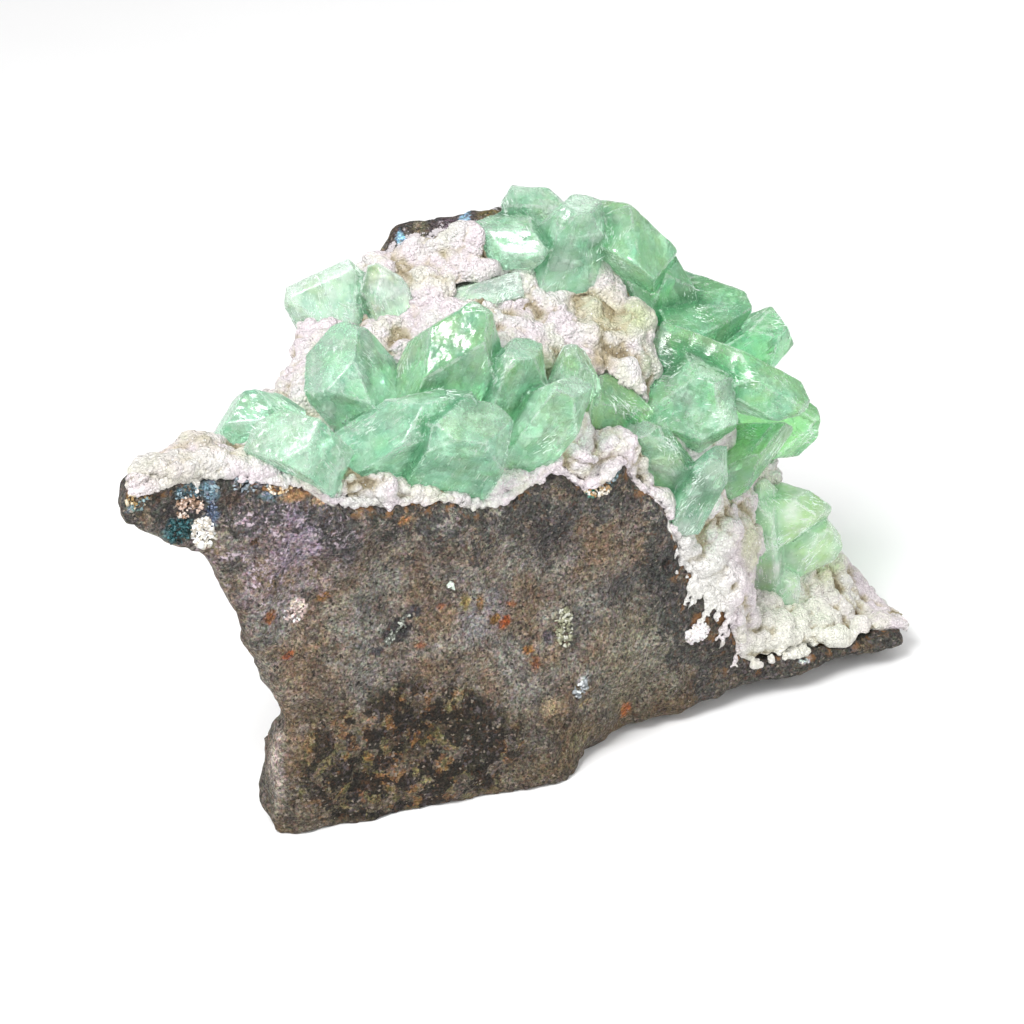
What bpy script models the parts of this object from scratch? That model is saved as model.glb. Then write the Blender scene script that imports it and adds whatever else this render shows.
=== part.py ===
"""Apophyllite on mordenite: a broken piece of basalt vug wall, its mordenite crust and its green crystals.

The piece stands on the flat of its underside, +Z up, with the fresh break of the basalt
towards -Y. Sizes are in millimetres here and are turned into metres by MM.
"""

import math
import random

import bmesh
import bpy
from mathutils import Matrix, Vector, noise
from mathutils.bvhtree import BVHTree

MM = 0.001
GAP = 0.35

# Basalt: the outline of its broken front (along the face, height), and the blocks behind it.
FACE_TURN = math.radians(26)
FACE_PUSH = (0, 11, -2.5)
FACE_OUTLINE = (
    (-3, 1), (0, -3), (46, -3), (51, -1), (62, 2), (76, 3), (90, 4), (116, 4), (117, 5.5),
    (84, 9), (81, 19), (77, 27), (72, 32), (67, 44), (60, 55), (53, 50), (47, 57), (41, 55),
    (35, 51), (28, 55), (18, 56), (9, 59), (3, 65), (-4, 67), (-16, 69), (-22, 69),
    (-24, 66), (-20, 61), (-11, 54), (-9, 47), (-2, 32), (1, 22), (-1, 12),
)
DOME = (
    (8, 12, -3), (46, 31, -3), (78, 52, -3), (82, 74, -3), (24, 72, -3), (8, 44, 22),
    (2, 12, 50), (0, 14, 62), (2, 30, 65), (3, 42, 68), (13, 53, 76), (19, 57, 81),
    (32, 59, 83), (36, 64, 82), (56, 62, 76), (50, 34, 60), (62, 38, 50), (74, 44, 16),
    (79, 62, 30), (72, 66, 50), (20, 14, 56), (16, 70, 46), (40, 82, 20), (60, 78, 40),
)
TOE = (
    (0, -1, -3), (42, 14.2, -3), (46, 26, -3), (2, 1, 30), (30, 14.6, 46), (52, 25.4, 34),
    (61, 29.8, 14), (20, 30, 4), (40, 40, 20),
)
SHOULDER = (
    (-4, 8, 38), (-12, 6, 54), (-16, 6, 58), (-11, 20, 58), (2, 34, 62), (6, 24, 34), (2, 16, 64),
    (-12, 14, 64),
)
FLANK = (
    (3.5, 7, 2), (2, 8, 20), (-2.5, 8, 36), (4, 24, 42), (8, 28, -3), (12, 30, 36), (10, 6, 20),
)
FOOT = (
    (66, 42, -3), (80, 50, -3), (104, 58, 1), (102, 66, 1), (94, 80, -3), (70, 80, -3),
    (78, 44, 8), (98, 60, 6), (90, 72, 8), (83, 60, 17),
)
BASALT_CELL = 1.1
BASALT_TRIANGLES = 2600
BREAK_RELIEF = ((16, 1.2), (7, 0.6), (3.2, 0.2))

# Mordenite: a skin over the top and the right of the basalt, swollen into round lumps.
CRUST_CELL = 1.1
CRUST_TRIANGLES = 2600
CRUST_FACING = Vector((0.35, -0.25, 0.9))
CRUST_SKIN = 1.8
CRUST_SUNK = 2.5
CRUST_LEAST = 30.0
CRUST_FOOT = 1.0
LUMPS = 150
LUMP_SPACING = 6.0
LUMP_RADIUS = (3.5, 7.0)
LUMP_RISE = 0.5

# Crystals: point of the pyramid (mm); heading, lift and turn of the long axis (degrees); half-widths
# of the two pairs of prism faces; how far the two pairs of pyramid faces stand off the point;
# depth of the blunt end under the point; length from the point down (mm).
INCLINE = math.radians(60.4)
UNEVEN = 0.03
CRYSTALS = {
    "ledge_side": ((-7.5, 14, 69.5), -92, 34, 136, 4, 6, 3, 2.5, 0.5, 11),
    "ledge_blunt": ((1.5, 0, 74), -26, 48, 132, 5, 4, 2.5, 4.5, 2, 16),
    "left_plump": ((7.5, 18.5, 78), -52, 56, 90, 6.5, 4.5, 4.5, 3, 2, 18),
    "shoulder_blocky": ((5.5, 39.5, 80.5), -52, 66, 154, 5.5, 5, 1, 4.5, 0.5, 12),
    "shoulder_small": ((14, 40.5, 82.5), -112, 68, 8, 2, 3.5, 0, 0.5, 0.5, 12),
    "centre_long": ((31, 16, 71.5), 92, 34, 80, 6, 4.5, 0.5, 0.5, 0.5, 22),
    "centre_wide": ((32, 10.5, 72), 42, 56, 16, 4, 7, 3, 1.5, 3.5, 21),
    "centre_tall": ((32, 28, 81.5), 106, 64, 50, 6.5, 5, 1, 0.5, 1, 22),
    "centre_round": ((38.5, 28, 74.5), 102, 72, 156, 3.5, 5, 3.5, 1.5, 1, 18),
    "centre_pale": ((46.5, 23.5, 70), 88, 56, 152, 3.5, 4.5, 4, 1, 1, 18),
    "centre_faint": ((45.5, 32.5, 72.5), -44, 84, 44, 3.5, 3, 0, 0.5, 1.5, 13),
    "slab": ((25, 40, 75), -60, 0, 72, 2, 2, 0, 0, 0.5, 14),
    "crest_left": ((35, 58.5, 86.5), -92, 44, 56, 5.5, 2, 0, 1.5, 0.5, 12),
    "crest_white": ((42.5, 44, 82), 42, 8, 44, 3.5, 4.5, 0, 0, 1.5, 15),
    "crest_plump": ((48, 50.5, 90), 76, 76, 84, 5, 3, 1, 2, 2, 19),
    "crest_right": ((58.5, 61.5, 82.5), 140, 40, 162, 8, 7.5, 2, 4, 3, 12),
    "right_light": ((58.5, 55, 77.5), -34, 72, 24, 5, 4.5, 1.5, 1.5, 2, 16),
    "right_dark": ((76.5, 61, 66), 100, 16, 116, 10, 9.5, 0, 1.5, 0.5, 16),
    "right_knob": ((82.5, 64, 60), 110, 28, 24, 4, 6.5, 2.5, 3, 0.5, 18),
    "right_long": ((85, 37, 57.5), 56, -6, 92, 7.5, 4, 0, 0.5, 1.5, 28),
    "right_frosted": ((73, 33, 61), 40, 20, 176, 6.5, 6, 0, 1.5, 3.5, 20),
    "right_low": ((83, 49.5, 48.5), 90, 34, 50, 3, 6.5, 0, 2, 0.5, 15),
    "right_last": ((90, 63, 41.5), 96, 0, 18, 5.5, 3.5, 1, 1.5, 1, 17),
    "edge_leaf": ((70, 32, 54), 74, 68, 0, 2, 3.5, 3, 0, 1.5, 18),
    "edge_upper": ((49.5, 34, 63.5), -64, 60, 144, 2.5, 5.5, 3.5, 0, 1, 12),
    "edge_lower": ((54.5, 31.5, 58.5), -72, 56, 108, 2, 4.5, 1, 1.5, 2.5, 19),
    "foot_needle": ((79, 54.5, 35.5), -96, 84, 38, 2, 3.5, 0, 0.5, 0.5, 25),
    "foot_blade": ((92, 57.5, 27), 96, 0, 44, 5, 4, 0, 1.5, 0.5, 15),
    "foot_plump": ((93, 58.5, 22.5), 80, 28, 28, 5, 4.5, 1, 2.5, 0.5, 13),
    "foot_stub": ((84.5, 52.5, 18.5), 44, 84, 18, 2, 2, 0.5, 0.5, 1.5, 9),
}

# The crystals that have grown into one another, node by node.
CLUSTERS = {
    "apophyllite_centre": ("centre_long", "centre_wide", "centre_tall", "centre_round", "centre_pale"),
    "apophyllite_left": ("left_plump",),
    "apophyllite_ledge": ("ledge_blunt", "ledge_side"),
    "apophyllite_shoulder": ("shoulder_blocky", "shoulder_small"),
    "apophyllite_crest": ("crest_plump", "crest_white", "crest_left", "crest_right"),
    "apophyllite_right_back": ("right_dark", "right_light", "right_knob"),
    "apophyllite_right_front": ("right_frosted", "right_long"),
    "apophyllite_right_low": ("right_low", "right_last"),
    "apophyllite_edge": ("edge_lower", "edge_leaf", "edge_upper"),
    "apophyllite_faint": ("centre_faint",),
    "apophyllite_slab": ("slab",),
    "apophyllite_foot": ("foot_needle", "foot_blade", "foot_plump", "foot_stub"),
}

# Colour and roughness of each material.
MATERIALS = {
    "basalt": ((0.13, 0.11, 0.10), 0.9),
    "mordenite": ((0.86, 0.83, 0.78), 0.95),
    "apophyllite": ((0.35, 0.72, 0.50), 0.2),
}


def hull(corners):
    """A bmesh of the convex hull of these corner points."""
    mesh = bmesh.new()
    for corner in corners:
        mesh.verts.new(corner)
    made = bmesh.ops.convex_hull(mesh, input=mesh.verts)
    inner = [item for item in made["geom_interior"] if isinstance(item, bmesh.types.BMVert)]
    bmesh.ops.delete(mesh, geom=inner, context="VERTS")
    return mesh


def face_slab():
    """A bmesh of the broken front: its outline, standing along the face, pushed back into the rock."""
    along = Vector((math.cos(FACE_TURN), math.sin(FACE_TURN), 0))
    mesh = bmesh.new()
    points = [mesh.verts.new(along * run + Vector((0, 0, height))) for run, height in FACE_OUTLINE]
    pushed = bmesh.ops.extrude_face_region(mesh, geom=[mesh.faces.new(points)])
    moved = [item for item in pushed["geom"] if isinstance(item, bmesh.types.BMVert)]
    bmesh.ops.translate(mesh, verts=moved, vec=FACE_PUSH)
    return mesh


def joined(pieces):
    """One bmesh that holds all these bmeshes, which are freed."""
    whole = bmesh.new()
    for piece in pieces:
        bmesh.ops.recalc_face_normals(piece, faces=piece.faces)
        bmesh.ops.triangulate(piece, faces=piece.faces)
        data = bpy.data.meshes.new("piece")
        piece.to_mesh(data)
        piece.free()
        whole.from_mesh(data)
        bpy.data.meshes.remove(data)
    return whole


def with_modifier(mesh, kind, settings, others=()):
    """A new bmesh: this one after one modifier. Both it and the other bmeshes named are freed."""
    made = object_of("work", mesh)
    modifier = made.modifiers.new("work", kind)
    for key, value in settings.items():
        setattr(modifier, key, value)
    for other in others:
        modifier.object = other
    graph = bpy.context.evaluated_depsgraph_get()
    data = bpy.data.meshes.new_from_object(made.evaluated_get(graph))
    result = bmesh.new()
    result.from_mesh(data)
    bpy.data.meshes.remove(data)
    for old in (made, *others):
        bpy.data.objects.remove(old)
    return result


def object_of(name, mesh):
    """A new linked object that holds this bmesh, which is freed."""
    data = bpy.data.meshes.new(name)
    mesh.to_mesh(data)
    mesh.free()
    made = bpy.data.objects.new(name, data)
    bpy.context.scene.collection.objects.link(made)
    return made


def relief(point, bands):
    """Height of a broken surface at a point: sharp-edged steps at each (size, height) band."""
    total = 0.0
    for size, height in bands:
        value = noise.noise(point / size + Vector((size, 3.1, 7.7)))
        crease = 1.0 - 2.0 * abs(noise.noise(point / size + Vector((9.2, size, 1.3))))
        total += height * (1.2 * value + 0.8 * crease - 0.3)
    return total


def roughened(mesh, bands):
    """Moves every corner of the mesh along its normal by the relief."""
    mesh.normal_update()
    moves = [(vert, vert.normal * relief(vert.co, bands)) for vert in mesh.verts]
    for vert, move in moves:
        vert.co += move
    return mesh


def cut_flat(mesh, height):
    """Cuts off all below this height and closes the cut with one flat face."""
    geometry = list(mesh.verts) + list(mesh.edges) + list(mesh.faces)
    bmesh.ops.bisect_plane(
        mesh, geom=geometry, dist=1e-5, plane_co=(0, 0, height), plane_no=(0, 0, -1), clear_outer=True)
    rim = [edge for edge in mesh.edges if edge.is_boundary]
    bmesh.ops.holes_fill(mesh, edges=rim, sides=0)
    return mesh


def basalt():
    """The matrix before it is cut flat under: its blocks fused, and where the crust covers it."""
    rock = joined([face_slab(), hull(DOME), hull(TOE), hull(SHOULDER), hull(FLANK), hull(FOOT)])
    rock = with_modifier(rock, "REMESH", {"mode": "VOXEL", "voxel_size": BASALT_CELL})
    for _ in range(4):
        bmesh.ops.smooth_vert(rock, verts=rock.verts, factor=0.5, use_axis_x=True, use_axis_y=True, use_axis_z=True)
    rock.normal_update()
    cover = [crust_cover(vert.co, vert.normal) for vert in rock.verts]
    return roughened(rock, BREAK_RELIEF), cover


def crystal_faces(widths, offsets, cap, length, seed):
    """The faces of one crystal as (normal, distance) from the point of its pyramid, a little uneven."""
    slope, rise = math.sin(INCLINE), math.cos(INCLINE)
    half = math.sqrt(0.5)
    faces = []
    for side in (1, -1):
        faces.append((Vector((side * slope, 0, rise)), offsets[0]))
        faces.append((Vector((0, side * slope, rise)), offsets[1]))
        faces.append((Vector((side * half, side * half, 0)), widths[0]))
        faces.append((Vector((side * half, -side * half, 0)), widths[1]))
    faces.append((Vector((0, 0, 1)), -cap))
    draw = random.Random(seed)
    uneven = [(normal + Vector([draw.uniform(-UNEVEN, UNEVEN) for _ in range(3)]), distance)
              for normal, distance in faces]
    return [*uneven, (Vector((0, 0, -1)), length)]


def crystal_axis(heading, lift):
    """The way that a crystal points: heading 0 is towards the front, 90 to the right; lift is up from level."""
    heading, lift = math.radians(heading), math.radians(lift)
    return Vector((math.sin(heading) * math.cos(lift), -math.cos(heading) * math.cos(lift), math.sin(lift)))


def crystal(name, more=0.0):
    """One crystal: a block cut by the faces of its prism, pyramid, blunt end and root."""
    point, heading, lift, turn, *shape = CRYSTALS[name]
    turn = math.radians(turn)
    axis = crystal_axis(heading, lift)
    side = Vector((0, 0, 1)).cross(axis).normalized()
    other = axis.cross(side)
    across = side * math.cos(turn) + other * math.sin(turn)
    along = other * math.cos(turn) - side * math.sin(turn)
    place = Matrix((across, along, axis)).transposed()
    mesh = bmesh.new()
    bmesh.ops.create_cube(mesh, size=90)
    for normal, distance in crystal_faces(shape[0:2], shape[2:4], shape[4], shape[5], name):
        geometry = list(mesh.verts) + list(mesh.edges) + list(mesh.faces)
        unit = normal.normalized()
        cut = bmesh.ops.bisect_plane(
            mesh, geom=geometry, dist=1e-6, plane_co=unit * (distance + more), plane_no=unit, clear_outer=True)
        rim = [item for item in cut["geom_cut"] if isinstance(item, bmesh.types.BMEdge)]
        if rim:
            bmesh.ops.edgenet_fill(mesh, edges=rim)
    bmesh.ops.transform(mesh, matrix=Matrix.Translation(point) @ place.to_4x4(), verts=mesh.verts)
    return mesh


def step(value, low, high):
    """0 below low, 1 above high, and a smooth climb between."""
    part = min(1.0, max(0.0, (value - low) / (high - low)))
    return part * part * (3 - 2 * part)


def crust_cover(point, normal):
    """1 where the crust covers the basalt, 0 where the rock is bare: the front, left, back and rim."""
    behind_face = point.y * math.cos(FACE_TURN) - point.x * math.sin(FACE_TURN)
    wander = 2.0 * noise.noise(point / 6)
    facing = step(normal.dot(CRUST_FACING), 0.35, 0.55)
    bare = min(34.5 + 0.85 * point.x, 47.5 + 0.2 * point.x)
    rim = step(point.y + 0.5 * wander, bare, bare + 2) if point.x < 36 else 0.0
    if point.x < 8 and point.z < 50:
        return 0.0
    return facing * step(behind_face + 0.3 * wander, 0.2, 1.4) * (1 - rim)


def crust_thickness(point):
    """How full the crust grows here: it thins out towards the left tip and the right foot."""
    return 0.45 + 0.55 * step(point.x, -22, 4) - 0.6 * step(point.x, 78, 104)


def lump_centres(points):
    """Some of these points, far enough apart, each with the radius of its lump."""
    draw = random.Random(7)
    draw.shuffle(points)
    centres = []
    for point in points:
        if all((point - other).length > LUMP_SPACING for other, _ in centres):
            centres.append((point, draw.uniform(*LUMP_RADIUS)))
        if len(centres) == LUMPS:
            break
    return centres


def clear_of_crystals(point):
    """True where no crystal stands, so that the crust there can swell into lumps."""
    for spot, heading, lift, _, *shape in CRYSTALS.values():
        axis = crystal_axis(heading, lift)
        along = min(0.0, max(-shape[5], (point - Vector(spot)).dot(axis)))
        if (point - Vector(spot) - axis * along).length < max(shape[0:2]) + 2:
            return False
    return True


def crust(rock, cover):
    """The mordenite before it is cut to the rock: the rock's own skin, swollen where it is covered."""
    skin = rock.copy()
    skin.normal_update()
    covered = [vert.co.copy() for vert, amount in zip(skin.verts, cover) if amount > 0.9]
    covered = [point for point in covered if clear_of_crystals(point)]
    centres = lump_centres(covered)
    moves = []
    for vert, amount in zip(skin.verts, cover):
        swell = CRUST_SKIN
        for centre, radius in centres:
            squared = radius * radius - (vert.co - centre).length_squared
            if squared > 0:
                swell = max(swell, CRUST_SKIN + LUMP_RISE * math.sqrt(squared))
        swell *= crust_thickness(vert.co)
        moves.append(vert.normal * (amount * swell - (1 - amount) * CRUST_SUNK))
    for vert, move in zip(skin.verts, moves):
        vert.co += move
    return with_modifier(skin, "REMESH", {"mode": "VOXEL", "voxel_size": CRUST_CELL})


def grown(mesh, distance):
    """A copy of the mesh with every face pushed out by this distance."""
    larger = mesh.copy()
    larger.normal_update()
    moves = [vert.normal * distance * min(vert.calc_shell_factor(), 2.5) for vert in larger.verts]
    for vert, move in zip(larger.verts, moves):
        vert.co += move
    return larger


def combined(mesh, other, operation):
    """The mesh after an exact Boolean with the other one. Both are freed."""
    settings = {"operation": operation, "solver": "EXACT", "use_self": True}
    return with_modifier(mesh, "BOOLEAN", settings, [object_of("cutter", other)])


def less(mesh, other):
    """The mesh with the other one cut out of it, where they meet. The other one is freed."""
    if BVHTree.FromBMesh(mesh).overlap(BVHTree.FromBMesh(other)):
        return combined(mesh, other, "DIFFERENCE")
    other.free()
    return mesh


def loose_parts(mesh):
    """The sets of corners that hang together, one set for each separate piece of the mesh."""
    left = set(mesh.verts)
    parts = []
    while left:
        seed = left.pop()
        part = {seed}
        front = [seed]
        while front:
            for edge in front.pop().link_edges:
                for vert in edge.verts:
                    if vert in left:
                        left.discard(vert)
                        part.add(vert)
                        front.append(vert)
        parts.append(part)
    return parts


def pieces(mesh, least=1.0):
    """The separate pieces of the mesh, the biggest first, without crumbs of less than this volume."""
    found = []
    for part in loose_parts(mesh):
        numbers = {vert.index for vert in part}
        piece = mesh.copy()
        others = [vert for vert in piece.verts if vert.index not in numbers]
        bmesh.ops.delete(piece, geom=others, context="VERTS")
        found.append((piece.calc_volume(), piece))
    mesh.free()
    found.sort(key=lambda entry: -entry[0])
    return [piece for volume, piece in found if volume >= least]


def thinned(mesh, triangles):
    """The mesh collapsed to about this many triangles."""
    bmesh.ops.triangulate(mesh, faces=mesh.faces)
    ratio = min(1.0, triangles / len(mesh.faces))
    return with_modifier(mesh, "DECIMATE", {"ratio": ratio})


def material(name):
    """The Principled material of this name."""
    made = bpy.data.materials.new(name)
    made.use_nodes = True
    colour, roughness = MATERIALS[name]
    shader = made.node_tree.nodes["Principled BSDF"]
    shader.inputs["Base Color"].default_value = (*colour, 1.0)
    shader.inputs["Roughness"].default_value = roughness
    shader.inputs["Metallic"].default_value = 0.0
    return made


def bottom_centre(meshes):
    """The middle of the underside of the box round all these meshes."""
    points = [vert.co for mesh in meshes for vert in mesh.verts]
    low = Vector([min(point[axis] for point in points) for axis in range(3)])
    high = Vector([max(point[axis] for point in points) for axis in range(3)])
    return Vector(((low.x + high.x) / 2, (low.y + high.y) / 2, low.z))


def build():
    """Every finished piece in its working place, by node name."""
    fine, cover = basalt()
    skin = cut_flat(thinned(crust(fine, cover), CRUST_TRIANGLES), CRUST_FOOT)
    rock = pieces(cut_flat(thinned(fine, BASALT_TRIANGLES), 0))[0]
    bmesh.ops.triangulate(rock, faces=rock.faces)
    shell = grown(rock, GAP)
    finished = {"basalt_matrix": rock}
    earlier = []
    for node, names in CLUSTERS.items():
        group = crystal(names[0])
        for name in names[1:]:
            group = combined(group, crystal(name), "UNION")
        for name in earlier:
            group = less(group, crystal(name, GAP))
        finished[node] = pieces(less(group, shell.copy()))[0]
        earlier += names
    skin = combined(skin, shell, "DIFFERENCE")
    for name in earlier:
        skin = less(skin, crystal(name, GAP))
    for number, piece in enumerate(pieces(skin, CRUST_LEAST)):
        finished["mordenite_crust_%d" % (number + 1)] = piece
    return finished


def main():
    for old in list(bpy.data.objects):
        bpy.data.objects.remove(old)
    finished = build()
    origin = bottom_centre(finished.values())
    looks = {name: material(name) for name in MATERIALS}
    for name, mesh in finished.items():
        bmesh.ops.dissolve_degenerate(mesh, dist=0.001, edges=mesh.edges)
        bmesh.ops.triangulate(mesh, faces=mesh.faces)
        bmesh.ops.translate(mesh, verts=mesh.verts, vec=-origin)
        bmesh.ops.scale(mesh, vec=(MM, MM, MM), verts=mesh.verts)
        object_of(name, mesh).data.materials.append(looks[name.split("_")[0]])


main()
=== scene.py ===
"""Looks of the apophyllite on mordenite specimen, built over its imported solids.

The row frame has its origin under the middle of the specimen, +Z up, and the fresh break of the
basalt towards -Y. Lengths are written in millimetres, and MM turns them into metres.
"""

import logging
import math
from collections.abc import Iterable, Sequence
from dataclasses import dataclass
from enum import Enum
from random import Random

import bmesh
import bpy
import numpy as np
from mathutils import Matrix, Vector, noise
from mathutils.bvhtree import BVHTree


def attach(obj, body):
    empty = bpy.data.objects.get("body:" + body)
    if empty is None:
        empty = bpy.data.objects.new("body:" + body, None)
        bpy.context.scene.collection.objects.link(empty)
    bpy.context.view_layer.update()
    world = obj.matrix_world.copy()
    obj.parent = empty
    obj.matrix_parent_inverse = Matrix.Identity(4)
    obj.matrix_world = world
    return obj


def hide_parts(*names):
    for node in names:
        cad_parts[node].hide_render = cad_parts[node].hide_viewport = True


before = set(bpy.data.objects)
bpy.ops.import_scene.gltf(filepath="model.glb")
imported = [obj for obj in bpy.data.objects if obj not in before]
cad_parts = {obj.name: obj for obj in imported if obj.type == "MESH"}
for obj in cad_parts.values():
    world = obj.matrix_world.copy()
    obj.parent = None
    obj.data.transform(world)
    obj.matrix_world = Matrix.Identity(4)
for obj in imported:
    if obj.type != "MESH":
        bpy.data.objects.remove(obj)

LOG = logging.getLogger("specimen")
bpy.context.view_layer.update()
MM = 0.001
BODY = "root"
# Where the lower left corner of the broken front lies in the row frame.
CORNER = Vector((-41.71, -36.36, 0.0))
FACE_TURN = math.radians(26)
PYRAMID = math.radians(60.4)
# A crystal's faces: the last two of them are its blunt end and its root.
FACES = 10
BLUNT_END = 8
# The distance to a neighbour where a crystal has none, for the painted seam shade.
FAR = 9.0
FACE_OUT = Vector((math.sin(FACE_TURN), -math.cos(FACE_TURN), 0.0))
FACE_ALONG = Vector((math.cos(FACE_TURN), math.sin(FACE_TURN), 0.0))

Triple = tuple[float, float, float]
Mesh = bmesh.types.BMesh
Socket = bpy.types.NodeSocket


class Slot(str, Enum):
    """Names of material slots, which no piece in this script is given."""

    BASALT = "basalt"
    MORDENITE = "mordenite"
    APOPHYLLITE = "apophyllite"


class Look(Enum):
    """The finishes of the crystals, by how deep and milky their green is."""

    MINT = "mint_apophyllite"
    DEEP = "deep_apophyllite"
    PALE = "pale_apophyllite"
    FRESH = "fresh_apophyllite"
    LEAFY = "leafy_apophyllite"


class Layer(str, Enum):
    """What a mesh carries at each of its points for its material to read."""

    RIND = "rind"
    HOLLOW = "hollow_shade"
    GROWTH = "growth"
    TONE = "tone"
    EDGE = "edge"
    PEARL = "pearl"
    POCKET = "pocket"
    SEAM = "seam_shade"


# The layers that carry three numbers at a point instead of one.
VECTORS = (Layer.GROWTH, Layer.TONE)


def step(value: float, low: float, high: float) -> float:
    """0 below low, 1 above high, and a smooth climb between."""
    part = min(1.0, max(0.0, (value - low) / (high - low)))
    return part * part * (3 - 2 * part)


def shade(code: str) -> tuple[float, float, float, float]:
    """Turns a colour written as #rrggbb into the linear values that a shader takes.

    Args:
        code: The colour as shown on a screen.

    Returns:
        Red, green, blue and a full alpha.
    """
    parts = [int(code[start:start + 2], 16) / 255 for start in (1, 3, 5)]
    red, green, blue = (((part + 0.055) / 1.055) ** 2.4 if part > 0.04045 else part / 12.92 for part in parts)
    return red, green, blue, 1.0


# ---------------------------------------------------------------- meshes


def opened(piece: bpy.types.Object) -> Mesh:
    """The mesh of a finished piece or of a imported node, in millimetres."""
    mesh = bmesh.new()
    mesh.from_mesh(piece.data)
    bmesh.ops.scale(mesh, vec=(1 / MM, 1 / MM, 1 / MM), verts=mesh.verts)
    return mesh


def merged_copy(node: str) -> Mesh:
    """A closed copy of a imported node's mesh in millimetres, with its doubled points merged."""
    mesh = opened(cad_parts[node])
    bmesh.ops.remove_doubles(mesh, verts=mesh.verts, dist=1e-4)
    return mesh


def added(mesh: Mesh, other: Mesh) -> Mesh:
    """Puts another bmesh, which is freed, into this one."""
    data = bpy.data.meshes.new("work")
    other.to_mesh(data)
    other.free()
    mesh.from_mesh(data)
    bpy.data.meshes.remove(data)
    return mesh


def remeshed(mesh: Mesh, cell: float) -> Mesh:
    """Rebuilds a closed mesh from even cells, so that it can take fine relief.

    Args:
        mesh: The mesh, which is freed.
        cell: The size of a cell, in millimetres.

    Returns:
        The new mesh.
    """
    data = bpy.data.meshes.new("work")
    mesh.to_mesh(data)
    mesh.free()
    holder = bpy.data.objects.new("work", data)
    bpy.context.scene.collection.objects.link(holder)
    cells = holder.modifiers.new("cells", "REMESH")
    cells.mode = "VOXEL"
    cells.voxel_size = cell * 1.0
    graph = bpy.context.evaluated_depsgraph_get()
    fine = bpy.data.meshes.new_from_object(holder.evaluated_get(graph))
    result = bmesh.new()
    result.from_mesh(fine)
    bpy.data.objects.remove(holder)
    bpy.data.meshes.remove(fine)
    bpy.data.meshes.remove(data)
    return result


def smoothed(mesh: Mesh, rounds: int) -> Mesh:
    """Rounds a mesh off by moving each point towards its neighbours, this many times."""
    for _ in range(rounds):
        bmesh.ops.smooth_vert(
            mesh, verts=mesh.verts, factor=0.5, use_axis_x=True, use_axis_y=True, use_axis_z=True)
    mesh.normal_update()
    return mesh


def raised(mesh: Mesh, heights: Sequence[float]) -> Mesh:
    """Moves each point of a mesh along its normal by its height."""
    mesh.normal_update()
    moves = [vert.normal * height for vert, height in zip(mesh.verts, heights)]
    for vert, move in zip(mesh.verts, moves):
        vert.co += move
    return mesh


def carry(mesh: Mesh, layer: Layer, values: Iterable[object]) -> None:
    """Writes what the mesh carries in a layer at each of its points.

    Args:
        mesh: The mesh.
        layer: The layer, which is new.
        values: A number for each point, or a vector where the layer holds vectors.
    """
    layers = mesh.verts.layers.float_vector if layer in VECTORS else mesh.verts.layers.float
    made = layers.new(layer.value)
    for vert, value in zip(mesh.verts, values):
        vert[made] = value


def bubble(point: Vector, size: float) -> float:
    """How high a round lump stands at a point: 1 on its top, 0 in the gap between lumps."""
    distances, _ = noise.voronoi(point / size)
    near = min(1.0, distances[0] / 0.68)
    return math.sqrt(1.0 - near * near)


def tree_of(meshes: Iterable[Mesh]) -> BVHTree:
    """A search tree over all the faces of these meshes, which are freed."""
    whole = bmesh.new()
    for mesh in meshes:
        added(whole, mesh)
    tree = BVHTree.FromBMesh(whole)
    whole.free()
    return tree


def placed(name: str, mesh: Mesh, material: bpy.types.Material,
           nodes: Sequence[str] = ()) -> bpy.types.Object:
    """Makes a finished piece of the specimen from a mesh in millimetres.

    Args:
        name: The piece's name.
        mesh: Its mesh, which is freed.
        material: Its finish.
        nodes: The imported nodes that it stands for.

    Returns:
        The piece, riding on the specimen's one body.
    """
    bmesh.ops.scale(mesh, vec=(MM, MM, MM), verts=mesh.verts)
    for face in mesh.faces:
        face.smooth = True
    data = bpy.data.meshes.new(name)
    mesh.to_mesh(data)
    mesh.free()
    made = bpy.data.objects.new(name, data)
    bpy.context.scene.collection.objects.link(made)
    data.materials.append(material)
    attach(made, BODY)
    if nodes:
        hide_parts(*nodes)
    triangles = sum(len(polygon.vertices) - 2 for polygon in data.polygons)
    LOG.info("%s: %d triangles", name, triangles)
    return made


# ---------------------------------------------------------------- shader nodes


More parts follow.
